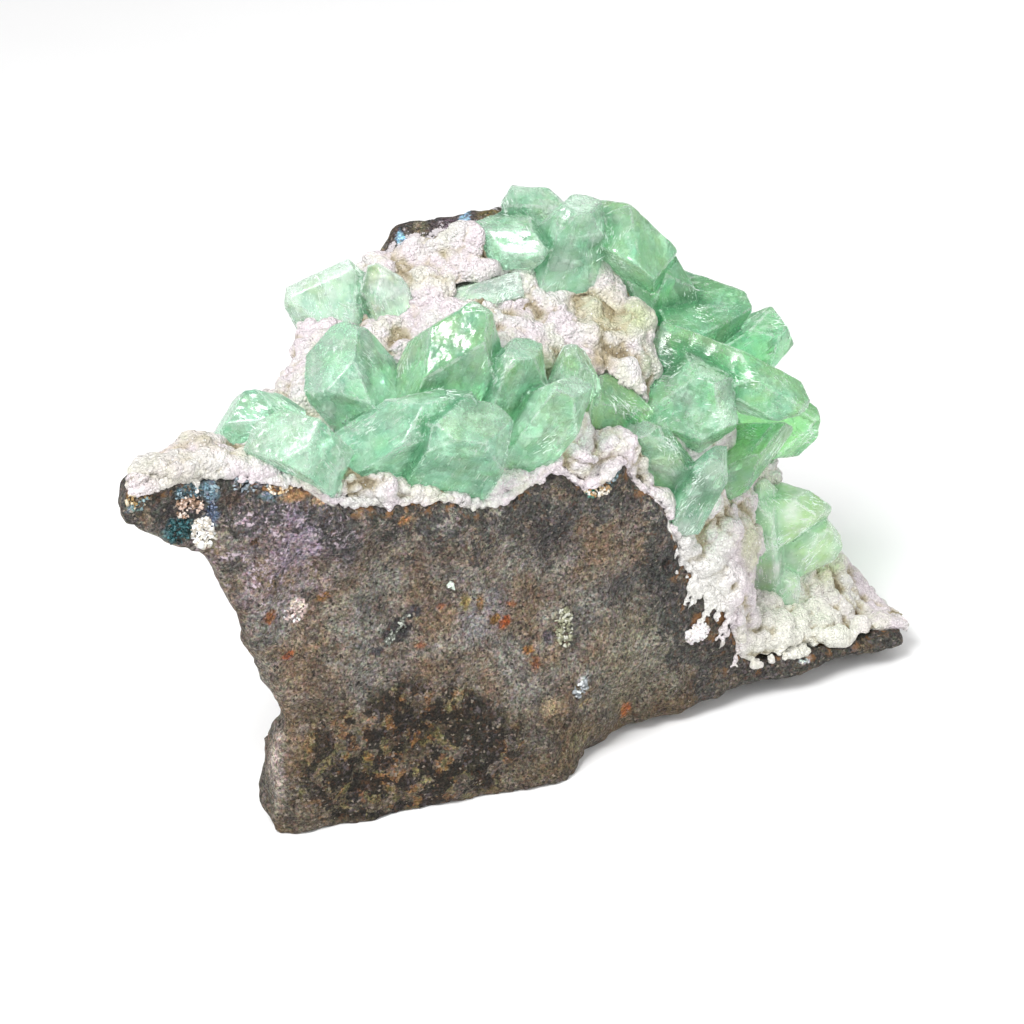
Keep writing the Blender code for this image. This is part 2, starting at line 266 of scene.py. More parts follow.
class Wiring:
    """Adds nodes to one node tree and wires each of them as it is made."""

    def __init__(self, tree: bpy.types.NodeTree) -> None:
        """Keeps the tree that the nodes go into."""
        self.tree = tree

    def add(self, kind: str, feeds: dict[str | int, object] | None = None, **settings: object) -> bpy.types.Node:
        """Adds one node.

        Args:
            kind: The node's type.
            feeds: A value or a socket for each input that isn't left as it is.
            **settings: Values for the node's own properties.

        Returns:
            The new node.
        """
        node = self.tree.nodes.new(kind)
        for name, value in settings.items():
            setattr(node, name, value)
        for key, value in (feeds or {}).items():
            self.feed(node.inputs[key], value)
        return node

    def feed(self, socket: Socket, value: object) -> None:
        """Wires a node's first output or a socket into an input, or sets the input to a value."""
        if isinstance(value, bpy.types.Node):
            value = value.outputs[0]
        if isinstance(value, bpy.types.NodeSocket):
            self.tree.links.new(value, socket)
        else:
            socket.default_value = value

    def math(self, operation: str, first: object, second: object) -> Socket:
        """The result of one step of arithmetic on two numbers."""
        return self.add("ShaderNodeMath", {0: first, 1: second}, operation=operation).outputs[0]

    def plus(self, first: object, second: object) -> Socket:
        """The sum of two numbers."""
        return self.math("ADD", first, second)

    def minus(self, first: object, second: object) -> Socket:
        """The first number less the second."""
        return self.math("SUBTRACT", first, second)

    def times(self, first: object, second: object) -> Socket:
        """The product of two numbers."""
        return self.math("MULTIPLY", first, second)

    def larger(self, first: object, second: object) -> Socket:
        """The larger of two numbers."""
        return self.math("MAXIMUM", first, second)

    def off_middle(self, cloud: object) -> Socket:
        """How far a noise is off its middle: 0 along thin winding lines."""
        return self.math("ABSOLUTE", self.minus(cloud, 0.5), 0.0)

    def vector(self, first: object, second: object, operation: str = "MULTIPLY") -> Socket:
        """The result of one step of arithmetic on two vectors."""
        return self.add("ShaderNodeVectorMath", {0: first, 1: second}, operation=operation).outputs[0]

    def parts(self, vector: Socket) -> Sequence[Socket]:
        """The three parts of a vector or of a colour."""
        return self.add("ShaderNodeSeparateXYZ", {0: vector}).outputs

    def ramp(self, value: object, low: float, high: float, start: float = 0.0, end: float = 1.0) -> Socket:
        """Turns low to high of a value into start to end, smoothly, and holds it outside."""
        feeds = {"Value": value, "From Min": low, "From Max": high, "To Min": start, "To Max": end}
        return self.add("ShaderNodeMapRange", feeds, interpolation_type="SMOOTHSTEP").outputs[0]

    def mix(self, mask: object, under: object, over: object) -> Socket:
        """Lays one colour over another where a mask says so.

        Args:
            mask: How much of the second colour shows.
            under: The first colour, as a code or a socket.
            over: The second colour.

        Returns:
            The colour socket.
        """
        colours = [shade(colour) if isinstance(colour, str) else colour for colour in (under, over)]
        feeds = {0: mask, 6: colours[0], 7: colours[1]}
        return self.add("ShaderNodeMix", feeds, data_type="RGBA").outputs[2]

    def noise(self, place: object, size: float, detail: float = 2.0, rough: float = 0.5) -> Socket:
        """Soft noise with lumps of about this size in millimetres."""
        feeds = {"Vector": place, "Scale": 1 / size, "Detail": detail, "Roughness": rough}
        return self.add("ShaderNodeTexNoise", feeds).outputs["Fac"]

    def group(self, tree: bpy.types.NodeTree, **feeds: object) -> Socket:
        """Places a shared group and returns its mask."""
        named = {name.capitalize(): value for name, value in feeds.items()}
        return self.add("ShaderNodeGroup", named, node_tree=tree).outputs[0]


class SharedGroups:
    """The effects that several finishes share, each a node group that is built once."""

    def __init__(self) -> None:
        """Builds the groups."""
        self.patches = self._patches()
        self.spot = self._spot()

    @staticmethod
    def _new(name: str, sockets: Sequence[tuple[str, str, object]]) -> tuple[Wiring, Sequence[Socket]]:
        """Starts a group with these inputs and one output, Mask.

        Args:
            name: The group's name.
            sockets: Name, type and value of each input.

        Returns:
            The wiring of the group and what its inputs give.
        """
        tree = bpy.data.node_groups.new(name, "ShaderNodeTree")
        for label, kind, value in sockets:
            socket = tree.interface.new_socket(name=label, in_out="INPUT", socket_type=kind)
            if value is not None:
                socket.default_value = value
        tree.interface.new_socket(name="Mask", in_out="OUTPUT", socket_type="NodeSocketFloat")
        wiring = Wiring(tree)
        return wiring, wiring.add("NodeGroupInput").outputs

    def _patches(self) -> bpy.types.NodeTree:
        """Cloudy patches: Size in millimetres, Cut is the share left out, Soft the width of the edge."""
        wiring, given = self._new("patches", (
            ("Place", "NodeSocketVector", None), ("Size", "NodeSocketFloat", 5.0),
            ("Cut", "NodeSocketFloat", 0.5), ("Soft", "NodeSocketFloat", 0.05),
            ("Shift", "NodeSocketVector", (0.0, 0.0, 0.0))))
        scale = wiring.math("DIVIDE", 1.0, given["Size"])
        moved = wiring.vector(given["Place"], given["Shift"], "ADD")
        feeds = {"Vector": moved, "Scale": scale, "Detail": 5.0, "Roughness": 0.6}
        cloud = wiring.add("ShaderNodeTexNoise", feeds).outputs["Fac"]
        low = wiring.minus(given["Cut"], given["Soft"])
        high = wiring.plus(given["Cut"], given["Soft"])
        mask = wiring.add("ShaderNodeMapRange", {"Value": cloud, "From Min": low, "From Max": high})
        wiring.add("NodeGroupOutput", {0: mask})
        return wiring.tree

    def _spot(self) -> bpy.types.NodeTree:
        """A soft-edged oval round Centre, with its half-sizes in Radii."""
        wiring, given = self._new("spot", (
            ("Place", "NodeSocketVector", None), ("Centre", "NodeSocketVector", None),
            ("Radii", "NodeSocketVector", (1.0, 1.0, 1.0)), ("Edge", "NodeSocketFloat", 0.6)))
        offset = wiring.vector(given["Place"], given["Centre"], "SUBTRACT")
        scaled = wiring.vector(offset, given["Radii"], "DIVIDE")
        length = wiring.add("ShaderNodeVectorMath", {0: scaled}, operation="LENGTH").outputs["Value"]
        feeds = {"Value": length, "From Min": 1.0, "From Max": given["Edge"]}
        mask = wiring.add("ShaderNodeMapRange", feeds, interpolation_type="SMOOTHSTEP")
        wiring.add("NodeGroupOutput", {0: mask})
        return wiring.tree


@dataclass(frozen=True)
class Mark:
    """A stain or a filling at one place: its middle and half-sizes in millimetres, and its colour."""

    centre: Triple
    radii: Triple
    colour: str
    strength: float = 0.8
    edge: float = 0.4


class Finish:
    """The start of every finish: a Principled shader and the place on the piece in millimetres."""

    def __init__(self, name: str, groups: SharedGroups | None = None) -> None:
        """Makes the empty material of this name, which may use the shared groups."""
        self.groups = groups
        self.material = bpy.data.materials.new(name)
        self.material.use_nodes = True
        self.wiring = Wiring(self.material.node_tree)
        self.shader = self.material.node_tree.nodes["Principled BSDF"]
        self.output = self.material.node_tree.nodes["Material Output"]
        coordinates = self.wiring.add("ShaderNodeTexCoord").outputs["Object"]
        self.place = self.wiring.vector(coordinates, (1 / MM, 1 / MM, 1 / MM))
        self.colour: object = None

    def wobbled(self, size: float, amount: float) -> Socket:
        """The place, pushed about by noise, so that edges worked out from it turn ragged."""
        cloud = self.wiring.add("ShaderNodeTexNoise", {"Vector": self.place, "Scale": 1 / size, "Detail": 3.0})
        centred = self.wiring.vector(cloud.outputs["Color"], (0.5, 0.5, 0.5), "SUBTRACT")
        push = self.wiring.vector(centred, (amount, amount, amount))
        return self.wiring.vector(self.place, push, "ADD")

    def patches(self, size: float, cut: float, soft: float, shift: Triple = (0.0, 0.0, 0.0)) -> Socket:
        """Cloudy patches of this size, with this share left out and an edge as soft as this."""
        return self.wiring.group(self.groups.patches, place=self.place, size=size, cut=cut, soft=soft, shift=shift)

    def spot(self, place: Socket, centre: Triple, radii: Triple, edge: float) -> Socket:
        """A soft-edged oval with this middle and these half-sizes, in millimetres."""
        return self.wiring.group(self.groups.spot, place=place, centre=centre, radii=radii, edge=edge)

    def cells(self, size: float, wobble: float, amount: float) -> bpy.types.Node:
        """Grains of this size in millimetres, with edges that wander in steps of wobble by this amount."""
        return self.wiring.add("ShaderNodeTexVoronoi", {"Vector": self.wobbled(wobble, amount), "Scale": 1 / size})

    def lay(self, mask: Socket, over: object, strength: float = 1.0) -> None:
        """Lays a colour over what the finish has so far.

        Args:
            mask: Where it shows.
            over: The colour, as a code or a socket.
            strength: How much of it shows there.
        """
        shown = mask if strength == 1.0 else self.wiring.times(mask, strength)
        self.colour = self.wiring.mix(shown, self.colour, over)

    def mark(self, marks: Sequence[Mark], place: Socket) -> None:
        """Lays marks over the colour, the first of them lowest, measured from this place."""
        for mark in marks:
            self.lay(self.spot(place, mark.centre, mark.radii, mark.edge), mark.colour, mark.strength)

    def dim(self, factor: Socket) -> None:
        """Multiplies the colour by a number or by another colour."""
        self.colour = self.wiring.vector(self.colour, factor)

    def layer(self, layer: Layer) -> Socket:
        """What the mesh carries in this layer."""
        node = self.wiring.add("ShaderNodeAttribute", attribute_name=layer.value, attribute_type="GEOMETRY")
        return node.outputs["Vector" if layer in VECTORS else "Fac"]

    def set(self, **feeds: object) -> None:
        """Wires or sets the shader's inputs; an underscore in a name stands for a space."""
        for name, value in feeds.items():
            self.wiring.feed(self.shader.inputs[name.replace("_", " ")], value)

    def lets_lamps_in(self, colour: str) -> None:
        """Lets the lamps shine through the surface in this colour, which a surface that bends light keeps out."""
        path = self.wiring.add("ShaderNodeLightPath").outputs["Is Shadow Ray"]
        clear = self.wiring.add("ShaderNodeBsdfTransparent", {"Color": shade(colour)})
        both = self.wiring.add("ShaderNodeMixShader", {0: path, 1: self.shader, 2: clear})
        self.wiring.feed(self.output.inputs["Surface"], both)

    def bump(self, height: Socket, distance: float, strength: float) -> Socket:
        """A normal bent by a height, with the distance in millimetres."""
        feeds = {"Height": height, "Distance": distance * MM, "Strength": strength}
        return self.wiring.add("ShaderNodeBump", feeds).outputs[0]


@dataclass(frozen=True)
class BasaltFinish:
    """Fresh broken basalt: grey-brown, fine-grained, darker under the crust, with stains, fillings and painted shade in
    its cracks and pits.
    """

    groups: SharedGroups
    grey: str = "#78746c"
    brown: str = "#71604d"
    lilac: str = "#7f7482"
    pinkish: str = "#cdbcc6"
    olive: str = "#463b27"
    cloud: str = "#3e3c3a"
    rind: str = "#3c3c39"
    rust: str = "#6b4630"
    stain: str = "#94683c"
    speck: str = "#b9ab9c"
    black: str = "#1d1a18"
    crack_shade: str = "#191512"
    pit_shade: str = "#171412"
    dust: str = "#ded7da"
    lining: str = "#f3f0ea"
    stains: tuple[tuple[str, float, float, float, Triple], ...] = (
        ("#6d6639", 3.0, 0.55, 0.5, (4.0, 9.0, 1.0)),
        ("#7b5126", 2.4, 0.56, 0.55, (1.0, 5.0, 9.0)),
        ("#16120c", 3.6, 0.49, 0.9, (8.0, 2.0, 6.0)),
    )
    broad: tuple[Mark, ...] = (
        Mark((-38, -34, 55), (13, 9, 9), "#8f8391", 0.45, 0.2),
        Mark((-22, -29, 15), (15, 9, 8), "#332d20", 0.85, 0.3),
        Mark((-27.5, -31.5, 13.5), (4, 4, 3.2), "#7d7263", 0.7, 0.4),
        Mark((-31.5, -33, 11), (7, 5, 5), "#3b3425", 0.7, 0.3),
        Mark((-36, -34, 22), (7, 5, 5), "#4d4436", 0.5, 0.2),
        Mark((-4.5, -24, 9), (2, 4, 6), "#3a3428", 0.7, 0.3),
        Mark((-42.6, -36.5, 14), (2.6, 5, 12), "#aca097", 0.7, 0.3),
        Mark((-45, -38, 59.5), (3.6, 4, 3), "#d3bccb", 0.6, 0.2),
        Mark((-38.6, -34, 41.2), (3, 3, 2.4), "#e0cfc6", 0.75, 0.3),
        Mark((-47, -38.5, 52), (1.8, 3, 1.5), "#45403f", 0.7, 0.5),
        Mark((-32, -32, 50.5), (4.5, 4, 5), "#4c474a", 0.7, 0.3),
        Mark((12, -11, 31), (6, 5, 5), "#363638", 0.8, 0.3),
        Mark((20, -7.3, 30), (7, 6, 11), "#353537", 0.85, 0.4),
        Mark((2, -16, 45), (9, 6, 8), "#3b3b3c", 0.8, 0.3),
        Mark((-9, -22, 33), (9, 6, 6), "#7c7b80", 0.5, 0.2),
        Mark((0.5, -20.9, 13.5), (3.4, 3, 2.6), "#b5a17e", 0.5, 0.2),
        Mark((5, -18, 5), (9, 5, 2.5), "#6f6a50", 0.6, 0.2),
        Mark((14, -10, 17), (17, 9, 17), "#7c7a69", 0.5, 0.2),
        Mark((-15, 20.5, 82), (16, 9, 5), "#2f2a30", 0.75, 0.5),
    )
    fine: tuple[Mark, ...] = (
        Mark((-10.5, -22.6, 35.3), (0.9, 2, 2.6), "#7d5a2a", 0.8, 0.3),
        Mark((-12.8, -23.6, 36), (1.1, 2, 2.6), "#86742f", 0.7, 0.3),
        Mark((-6.5, -20.7, 30.6), (1.2, 2, 1.5), "#8c4416", 0.95, 0.4),
        Mark((-5.6, -20.5, 33.8), (1.3, 2, 1.1), "#7c4c2a", 0.85, 0.4),
        Mark((-8.2, -21.6, 31.8), (1.3, 2, 1.4), "#7b5317", 0.85, 0.4),
        Mark((-2.7, -20.1, 24.8), (1.6, 2, 1.1), "#84581f", 0.85, 0.3),
        Mark((-1.6, -20.1, 22.4), (1.3, 2, 1.6), "#754420", 0.85, 0.3),
        Mark((-42.6, -36.5, 41.6), (1.5, 3, 1.6), "#75430f", 0.85, 0.4),
        Mark((-34.5, -32.6, 42.4), (1.6, 3, 1.2), "#86581e", 0.7, 0.3),
        Mark((-16.7, -25.1, 36.3), (1, 2, 1), "#8d5238", 0.7, 0.3),
        Mark((-20, -27, 30.5), (1.2, 2, 1), "#804a28", 0.7, 0.3),
        Mark((13.6, -8.9, 5.9), (1.4, 2, 2.4), "#8b4c1f", 0.85, 0.4),
        Mark((-40, -35.4, 34), (1.3, 3, 0.9), "#8a4420", 0.8, 0.4),
        Mark((-44, -38, 55.4), (0.9, 3, 0.9), "#4f3311", 0.9, 0.5),
        Mark((-38, -34.5, 62), (3.4, 4, 1.3), "#a9825a", 0.7, 0.3),
        Mark((-34.2, -32.5, 60.4), (2.2, 4, 1.1), "#d8b894", 0.8, 0.4),
        Mark((-41.5, -36, 62.8), (2.2, 4, 1.4), "#6e8791", 0.7, 0.4),
        Mark((-47, -38.6, 63.4), (1.8, 4, 1.6), "#53433a", 0.8, 0.4),
        Mark((-22, -27, 53), (1.6, 4, 1.2), "#a9743f", 0.7, 0.3),
        Mark((7, -17, 12), (1.8, 3, 1), "#c0a36c", 0.6, 0.2),
        Mark((6.4, -17, 17.2), (2, 3, 1.7), "#a9aeb0", 0.7, 0.2),
        Mark((-26.6, -30.3, 31.2), (1.5, 3, 1.4), "#2b2b2e", 0.9, 0.5),
        Mark((-23.4, -28.4, 34), (2.9, 3, 2.7), "#2b2b2e", 0.9, 0.6),
        Mark((-20.8, -26.9, 36.6), (1.6, 3, 1.8), "#2f2f33", 0.9, 0.5),
        Mark((0.4, -18.2, 26), (1.3, 3, 2), "#4f4c55", 0.8, 0.4),
        Mark((-54, -41.8, 62.5), (4.6, 4, 4.8), "#2c2a2c", 0.8, 0.5),
        Mark((-54.8, -42.3, 60.4), (3.2, 4, 2.6), "#2c5f66", 0.7, 0.5),
        Mark((-52.6, -41.2, 59.2), (2, 4, 1.4), "#1d3d38", 0.7, 0.5),
        Mark((-50, -40, 61.2), (1.4, 4, 3), "#50617f", 0.6, 0.4),
        Mark((-52.3, -41, 66.6), (3.6, 4, 1.7), "#587f8a", 0.6, 0.4),
        Mark((-49.8, -39.8, 65.4), (1.5, 4, 2.2), "#7e9db4", 0.6, 0.5),
        Mark((-60.4, -45, 66.2), (1.7, 4, 1.1), "#7ea3ab", 0.6, 0.4),
        Mark((-61, -45, 68), (1.3, 4, 1.2), "#b58a3c", 0.7, 0.3),
        Mark((-43.5, -36, 66), (2.2, 4, 2.2), "#8496a0", 0.85, 0.4),
        Mark((-45.6, -36.4, 66.5), (1.2, 4, 1.6), "#9fb4be", 0.8, 0.4),
        Mark((-40.6, -35.4, 64.6), (2, 4, 1.6), "#a2763d", 0.6, 0.3),
        Mark((-38.4, -35.2, 64), (1.4, 4, 1.2), "#c4a577", 0.6, 0.3),
        Mark((9.6, -11, 52), (3.4, 4, 2.8), "#3c4a48", 0.9, 0.5),
        Mark((10.4, -10.8, 53.2), (1.5, 4, 1.6), "#8fc0cf", 0.9, 0.5),
        Mark((6.8, -12.6, 51.8), (1, 4, 1.6), "#8b93a8", 0.9, 0.5),
        Mark((7.2, -12.6, 49.8), (1.1, 4, 0.8), "#2fa388", 0.9, 0.5),
        Mark((24.3, -3.9, 26.8), (0.8, 3, 2.4), "#3d3350", 0.9, 0.4),
        Mark((45, 5.5, 6.4), (1.4, 5, 0.6), "#dfe3e6", 0.7, 0.3),
        Mark((-9, 22.5, 83.1), (3, 5, 2), "#6d6238", 0.8, 0.4),
        Mark((-20.5, 18.8, 81.4), (1.8, 4, 2), "#77715a", 0.7, 0.4),
        Mark((-15.9, 20.8, 82.3), (2.2, 4, 1.8), "#66555f", 0.7, 0.4),
        Mark((-13.2, 21.4, 82.6), (1.3, 3, 1.4), "#9cc6e0", 0.9, 0.4),
        Mark((-23.6, 17.8, 80.3), (1.1, 3, 1.4), "#8fc0da", 0.9, 0.4),
    )

    def upper_left(self, finish: Finish, place: Socket) -> Socket:
        """Where the rock is lilac and pink: high on the left of the broken front."""
        return finish.spot(place, (-41.0, -36.0, 55.0), (20.0, 14.0, 18.0), 0.3)

    def ground(self, finish: Finish) -> None:
        """Paints the sound rock, without its grain, on the finish that is being made."""
        wiring = finish.wiring
        ragged = finish.wobbled(5.0, 7.0)
        finish.colour = wiring.mix(finish.patches(8.0, 0.5, 0.1), self.grey, self.brown)
        finish.lay(wiring.ramp(wiring.parts(ragged)[2], 26.0, 2.0, 0.0, 0.65), self.olive)
        upper = wiring.times(self.upper_left(finish, ragged), 0.75)
        finish.lay(wiring.times(finish.patches(5.0, 0.53, 0.06, (31.0, 7.0, 3.0)), upper), self.lilac)
        finish.lay(finish.patches(6.0, 0.56, 0.05, (3.0, 27.0, 13.0)), self.cloud, 0.5)
        finish.mark(self.broad, ragged)
        low = finish.spot(ragged, (-22.0, -30.0, 11.0), (25.0, 12.0, 15.0), 0.75)
        for code, size, cut, strength, shift in self.stains:
            finish.lay(wiring.times(low, finish.patches(size, cut, 0.012, shift)), code, strength)

    def make(self) -> bpy.types.Material:
        """Builds the material."""
        finish = Finish("broken_basalt", self.groups)
        wiring, place = finish.wiring, finish.place
        self.ground(finish)
        crust = finish.layer(Layer.RIND)
        wander = wiring.ramp(wiring.noise(place, 5.0, 6.0, 0.7), 0.32, 0.68, -6.5, 6.5)
        finish.lay(wiring.ramp(wiring.plus(crust, wander), 5.6, 3.8, 0.0, 0.85), self.rind)
        finish.mark(self.fine, finish.wobbled(1.0, 2.0))
        blotch = wiring.noise(place, 1.7, 3.0, 0.65)
        grain = wiring.noise(place, 0.42, 2.0, 0.8)
        cells = wiring.parts(finish.cells(0.38, 0.5, 0.5).outputs["Color"])
        light = wiring.times(wiring.ramp(grain, 0.34, 0.66, 0.6, 1.42), wiring.ramp(blotch, 0.34, 0.66, 0.72, 1.28))
        light = wiring.times(light, wiring.ramp(cells[0], 0.0, 1.0, 0.6, 1.45))
        tints = wiring.add("ShaderNodeTexNoise", {"Vector": place, "Scale": 1 / 0.6, "Detail": 2.0}).outputs["Color"]
        finish.dim(wiring.vector(wiring.vector(tints, (0.7, 0.7, 0.7)), (0.65, 0.65, 0.65), "ADD"))
        finish.dim(light)
        finish.lay(finish.patches(1.0, 0.6, 0.03, (9.0, 2.0, 4.0)), self.rust, 0.3)
        grouped = wiring.plus(self.upper_left(finish, place), 0.12)
        grouped = wiring.times(finish.patches(3.6, 0.52, 0.05, (6.0, 1.0, 12.0)), grouped)
        finish.lay(wiring.times(finish.patches(0.9, 0.58, 0.04, (1.0, 8.0, 4.0)), grouped), self.pinkish)
        finish.lay(wiring.ramp(cells[1], 0.965, 0.975, 0.0, 0.4), self.speck)
        finish.lay(wiring.ramp(cells[2], 0.93, 0.95, 0.0, 0.75), self.black)
        # Painted shade along hairline cracks: near-black thin lines where the bump cuts into the rock.
        ridge = wiring.off_middle(wiring.noise(place, 7.0, 5.0, 0.65))
        cracks = wiring.times(wiring.ramp(ridge, 0.006, 0.001), finish.patches(6.0, 0.56, 0.03, (7.0, 7.0, 2.0)))
        finish.lay(cracks, self.crack_shade, 0.85)
        # Painted shade in small pits: near-black where the bump dents the rock.
        holes = wiring.ramp(wiring.noise(wiring.vector(place, (14.0, 3.0, 7.0), "ADD"), 1.0, 2.0, 0.6), 0.69, 0.73)
        finish.lay(holes, self.pit_shade, 0.85)
        stained = finish.patches(2.2, 0.57, 0.04, (3.0, 17.0, 9.0))
        finish.lay(wiring.times(wiring.ramp(crust, 2.0, 0.4), stained), self.stain, 0.7)
        wander = wiring.ramp(wiring.noise(place, 1.6, 4.0, 0.7), 0.34, 0.66, -1.9, 1.9)
        dusted = wiring.ramp(wiring.plus(crust, wander), 2.3, 1.5, 0.0, 0.85)
        finish.lay(wiring.times(dusted, wiring.ramp(wiring.parts(place)[2], 75.0, 78.0)), self.dust)
        finish.lay(wiring.ramp(finish.layer(Layer.POCKET), 1.1, 0.7), self.lining)
        relief = wiring.plus(grain, wiring.times(blotch, 1.6))
        relief = wiring.minus(relief, wiring.times(wiring.plus(holes, cracks), 1.2))
        relief = wiring.plus(relief, wiring.times(cells[0], 0.5))
        finish.set(Base_Color=finish.colour, Roughness=wiring.ramp(grain, 0.3, 0.7, 0.95, 0.55),
                   Normal=finish.bump(relief, 0.5, 0.9), Specular_IOR_Level=0.35)
        return finish.material


@dataclass(frozen=True)
class MordeniteFinish:
    """A felt of white needles: matte, faintly pink on the lumps, with a yellowish painted shade in the gaps between."""

    groups: SharedGroups
    white: str = "#ebe9e7"
    pink: str = "#ece1e7"
    greenish: str = "#e3e5cf"
    hollow_shade: str = "#b9ad8c"
    deep_shade: str = "#806f4c"
    gap: str = "#a79c88"
    painted_glint: str = "#ffffff"
    marks: tuple[Mark, ...] = (
        Mark((10, 9, 71), (8, 8, 6), "#cdce9f", 0.7, 0.1),
        Mark((8.6, 2.4, 66.5), (4.6, 5, 4), "#a8965c", 0.75, 0.1),
        Mark((0, -2, 68), (5, 5, 4), "#b5a873", 0.5, 0.1),
        Mark((-50, -33, 71.5), (10, 8, 2.5), "#b9b592", 0.7, 0.1),
        Mark((-55, -41, 69.5), (12, 7, 4.5), "#c9c4ba", 0.6, 0.1),
        Mark((36, 6, 30), (5, 8, 9), "#cdd3a8", 0.7, 0.1),
        Mark((43, 10, 10), (19, 16, 9), "#f5f6e8", 0.8, 0.4),
        Mark((50, 22, 15), (6, 8, 5), "#c6cb9c", 0.7, 0.1),
        Mark((15.5, 10.5, 69.5), (5, 7, 5), "#c3d19c", 0.75, 0.1),
        Mark((17, 6, 63.5), (3.5, 4, 5), "#9fb583", 0.7, 0.1),
        Mark((6.5, 11.5, 72.8), (5, 4, 4), "#ccd5b0", 0.5, 0.1),
        Mark((11, 4.2, 67), (3.6, 4, 3.6), "#eee8ea", 0.6, 0.3),
    )
    torn: Mark = Mark((25.0, -3.0, 28.0), (11, 9, 20), "#f4f3ef", 0.85, 0.4)
    holes: tuple[Mark, ...] = (
        Mark((55.5, 18.7, 7.6), (0.9, 1.6, 1.2), "#5f4a1c", 0.95, 0.6),
        Mark((53, 12.5, 7.4), (0.6, 3.4, 1.6), "#75602e", 0.9, 0.5),
    )

    def make(self) -> bpy.types.Material:
        """Builds the material."""
        finish = Finish("felted_mordenite", self.groups)
        wiring, place = finish.wiring, finish.place
        finish.colour = wiring.mix(finish.patches(9.0, 0.46, 0.07), self.white, self.pink)
        finish.lay(finish.patches(6.0, 0.56, 0.07, (5.0, 2.0, 8.0)), self.greenish, 0.6)
        finish.mark((self.torn, *self.marks), finish.wobbled(4.0, 6.0))
        # How deep a point lies between the lumps: the yellowish tint and the darker brown laid there are painted shade.
        hollow_shade = finish.layer(Layer.HOLLOW)
        finish.lay(wiring.ramp(hollow_shade, 0.45, 0.85, 0.0, 0.8), self.hollow_shade)
        finish.lay(wiring.ramp(hollow_shade, 0.75, 1.0, 0.0, 0.7), self.deep_shade)
        cells = finish.cells(0.55, 0.7, 0.4)
        # Painted shade in the grooves between the fine grains, which the bump lowers too.
        grains = wiring.ramp(cells.outputs["Distance"], 0.1, 0.75)
        finish.lay(grains, self.gap, 0.14)
        # Painted glints: pure white specks scattered over the felt.
        finish.lay(wiring.ramp(wiring.noise(place, 0.45, 1.0, 0.5), 0.68, 0.75), self.painted_glint, 0.8)
        felt = wiring.noise(place, 0.4, 3.0, 0.8)
        facet = wiring.parts(cells.outputs["Color"])[0]
        finish.dim(wiring.ramp(facet, 0.0, 1.0, 0.89, 1.07))
        finish.mark(self.holes, place)
        relief = wiring.plus(wiring.times(grains, -0.6), wiring.times(felt, 0.6))
        relief = wiring.plus(relief, wiring.times(facet, 0.5))
        finish.set(Base_Color=finish.colour, Roughness=wiring.ramp(felt, 0.3, 0.7, 1.0, 0.8),
                   Normal=finish.bump(relief, 0.55, 0.9), Specular_IOR_Level=0.3)
        return finish.material


@dataclass(frozen=True)
class GrainFinish:
    """Small crystal grains, each in the colour that it carries."""

    def make(self) -> bpy.types.Material:
        """Builds the material."""
        finish = Finish("vug_grains")
        wiring = finish.wiring
        cloud = wiring.noise(finish.place, 0.5, 2.0, 0.7)
        colour = wiring.vector(finish.layer(Layer.TONE), wiring.ramp(cloud, 0.35, 0.65, 0.65, 1.1))
        finish.set(Base_Color=colour, Roughness=wiring.ramp(cloud, 0.3, 0.7, 0.25, 0.6))
        return finish.material


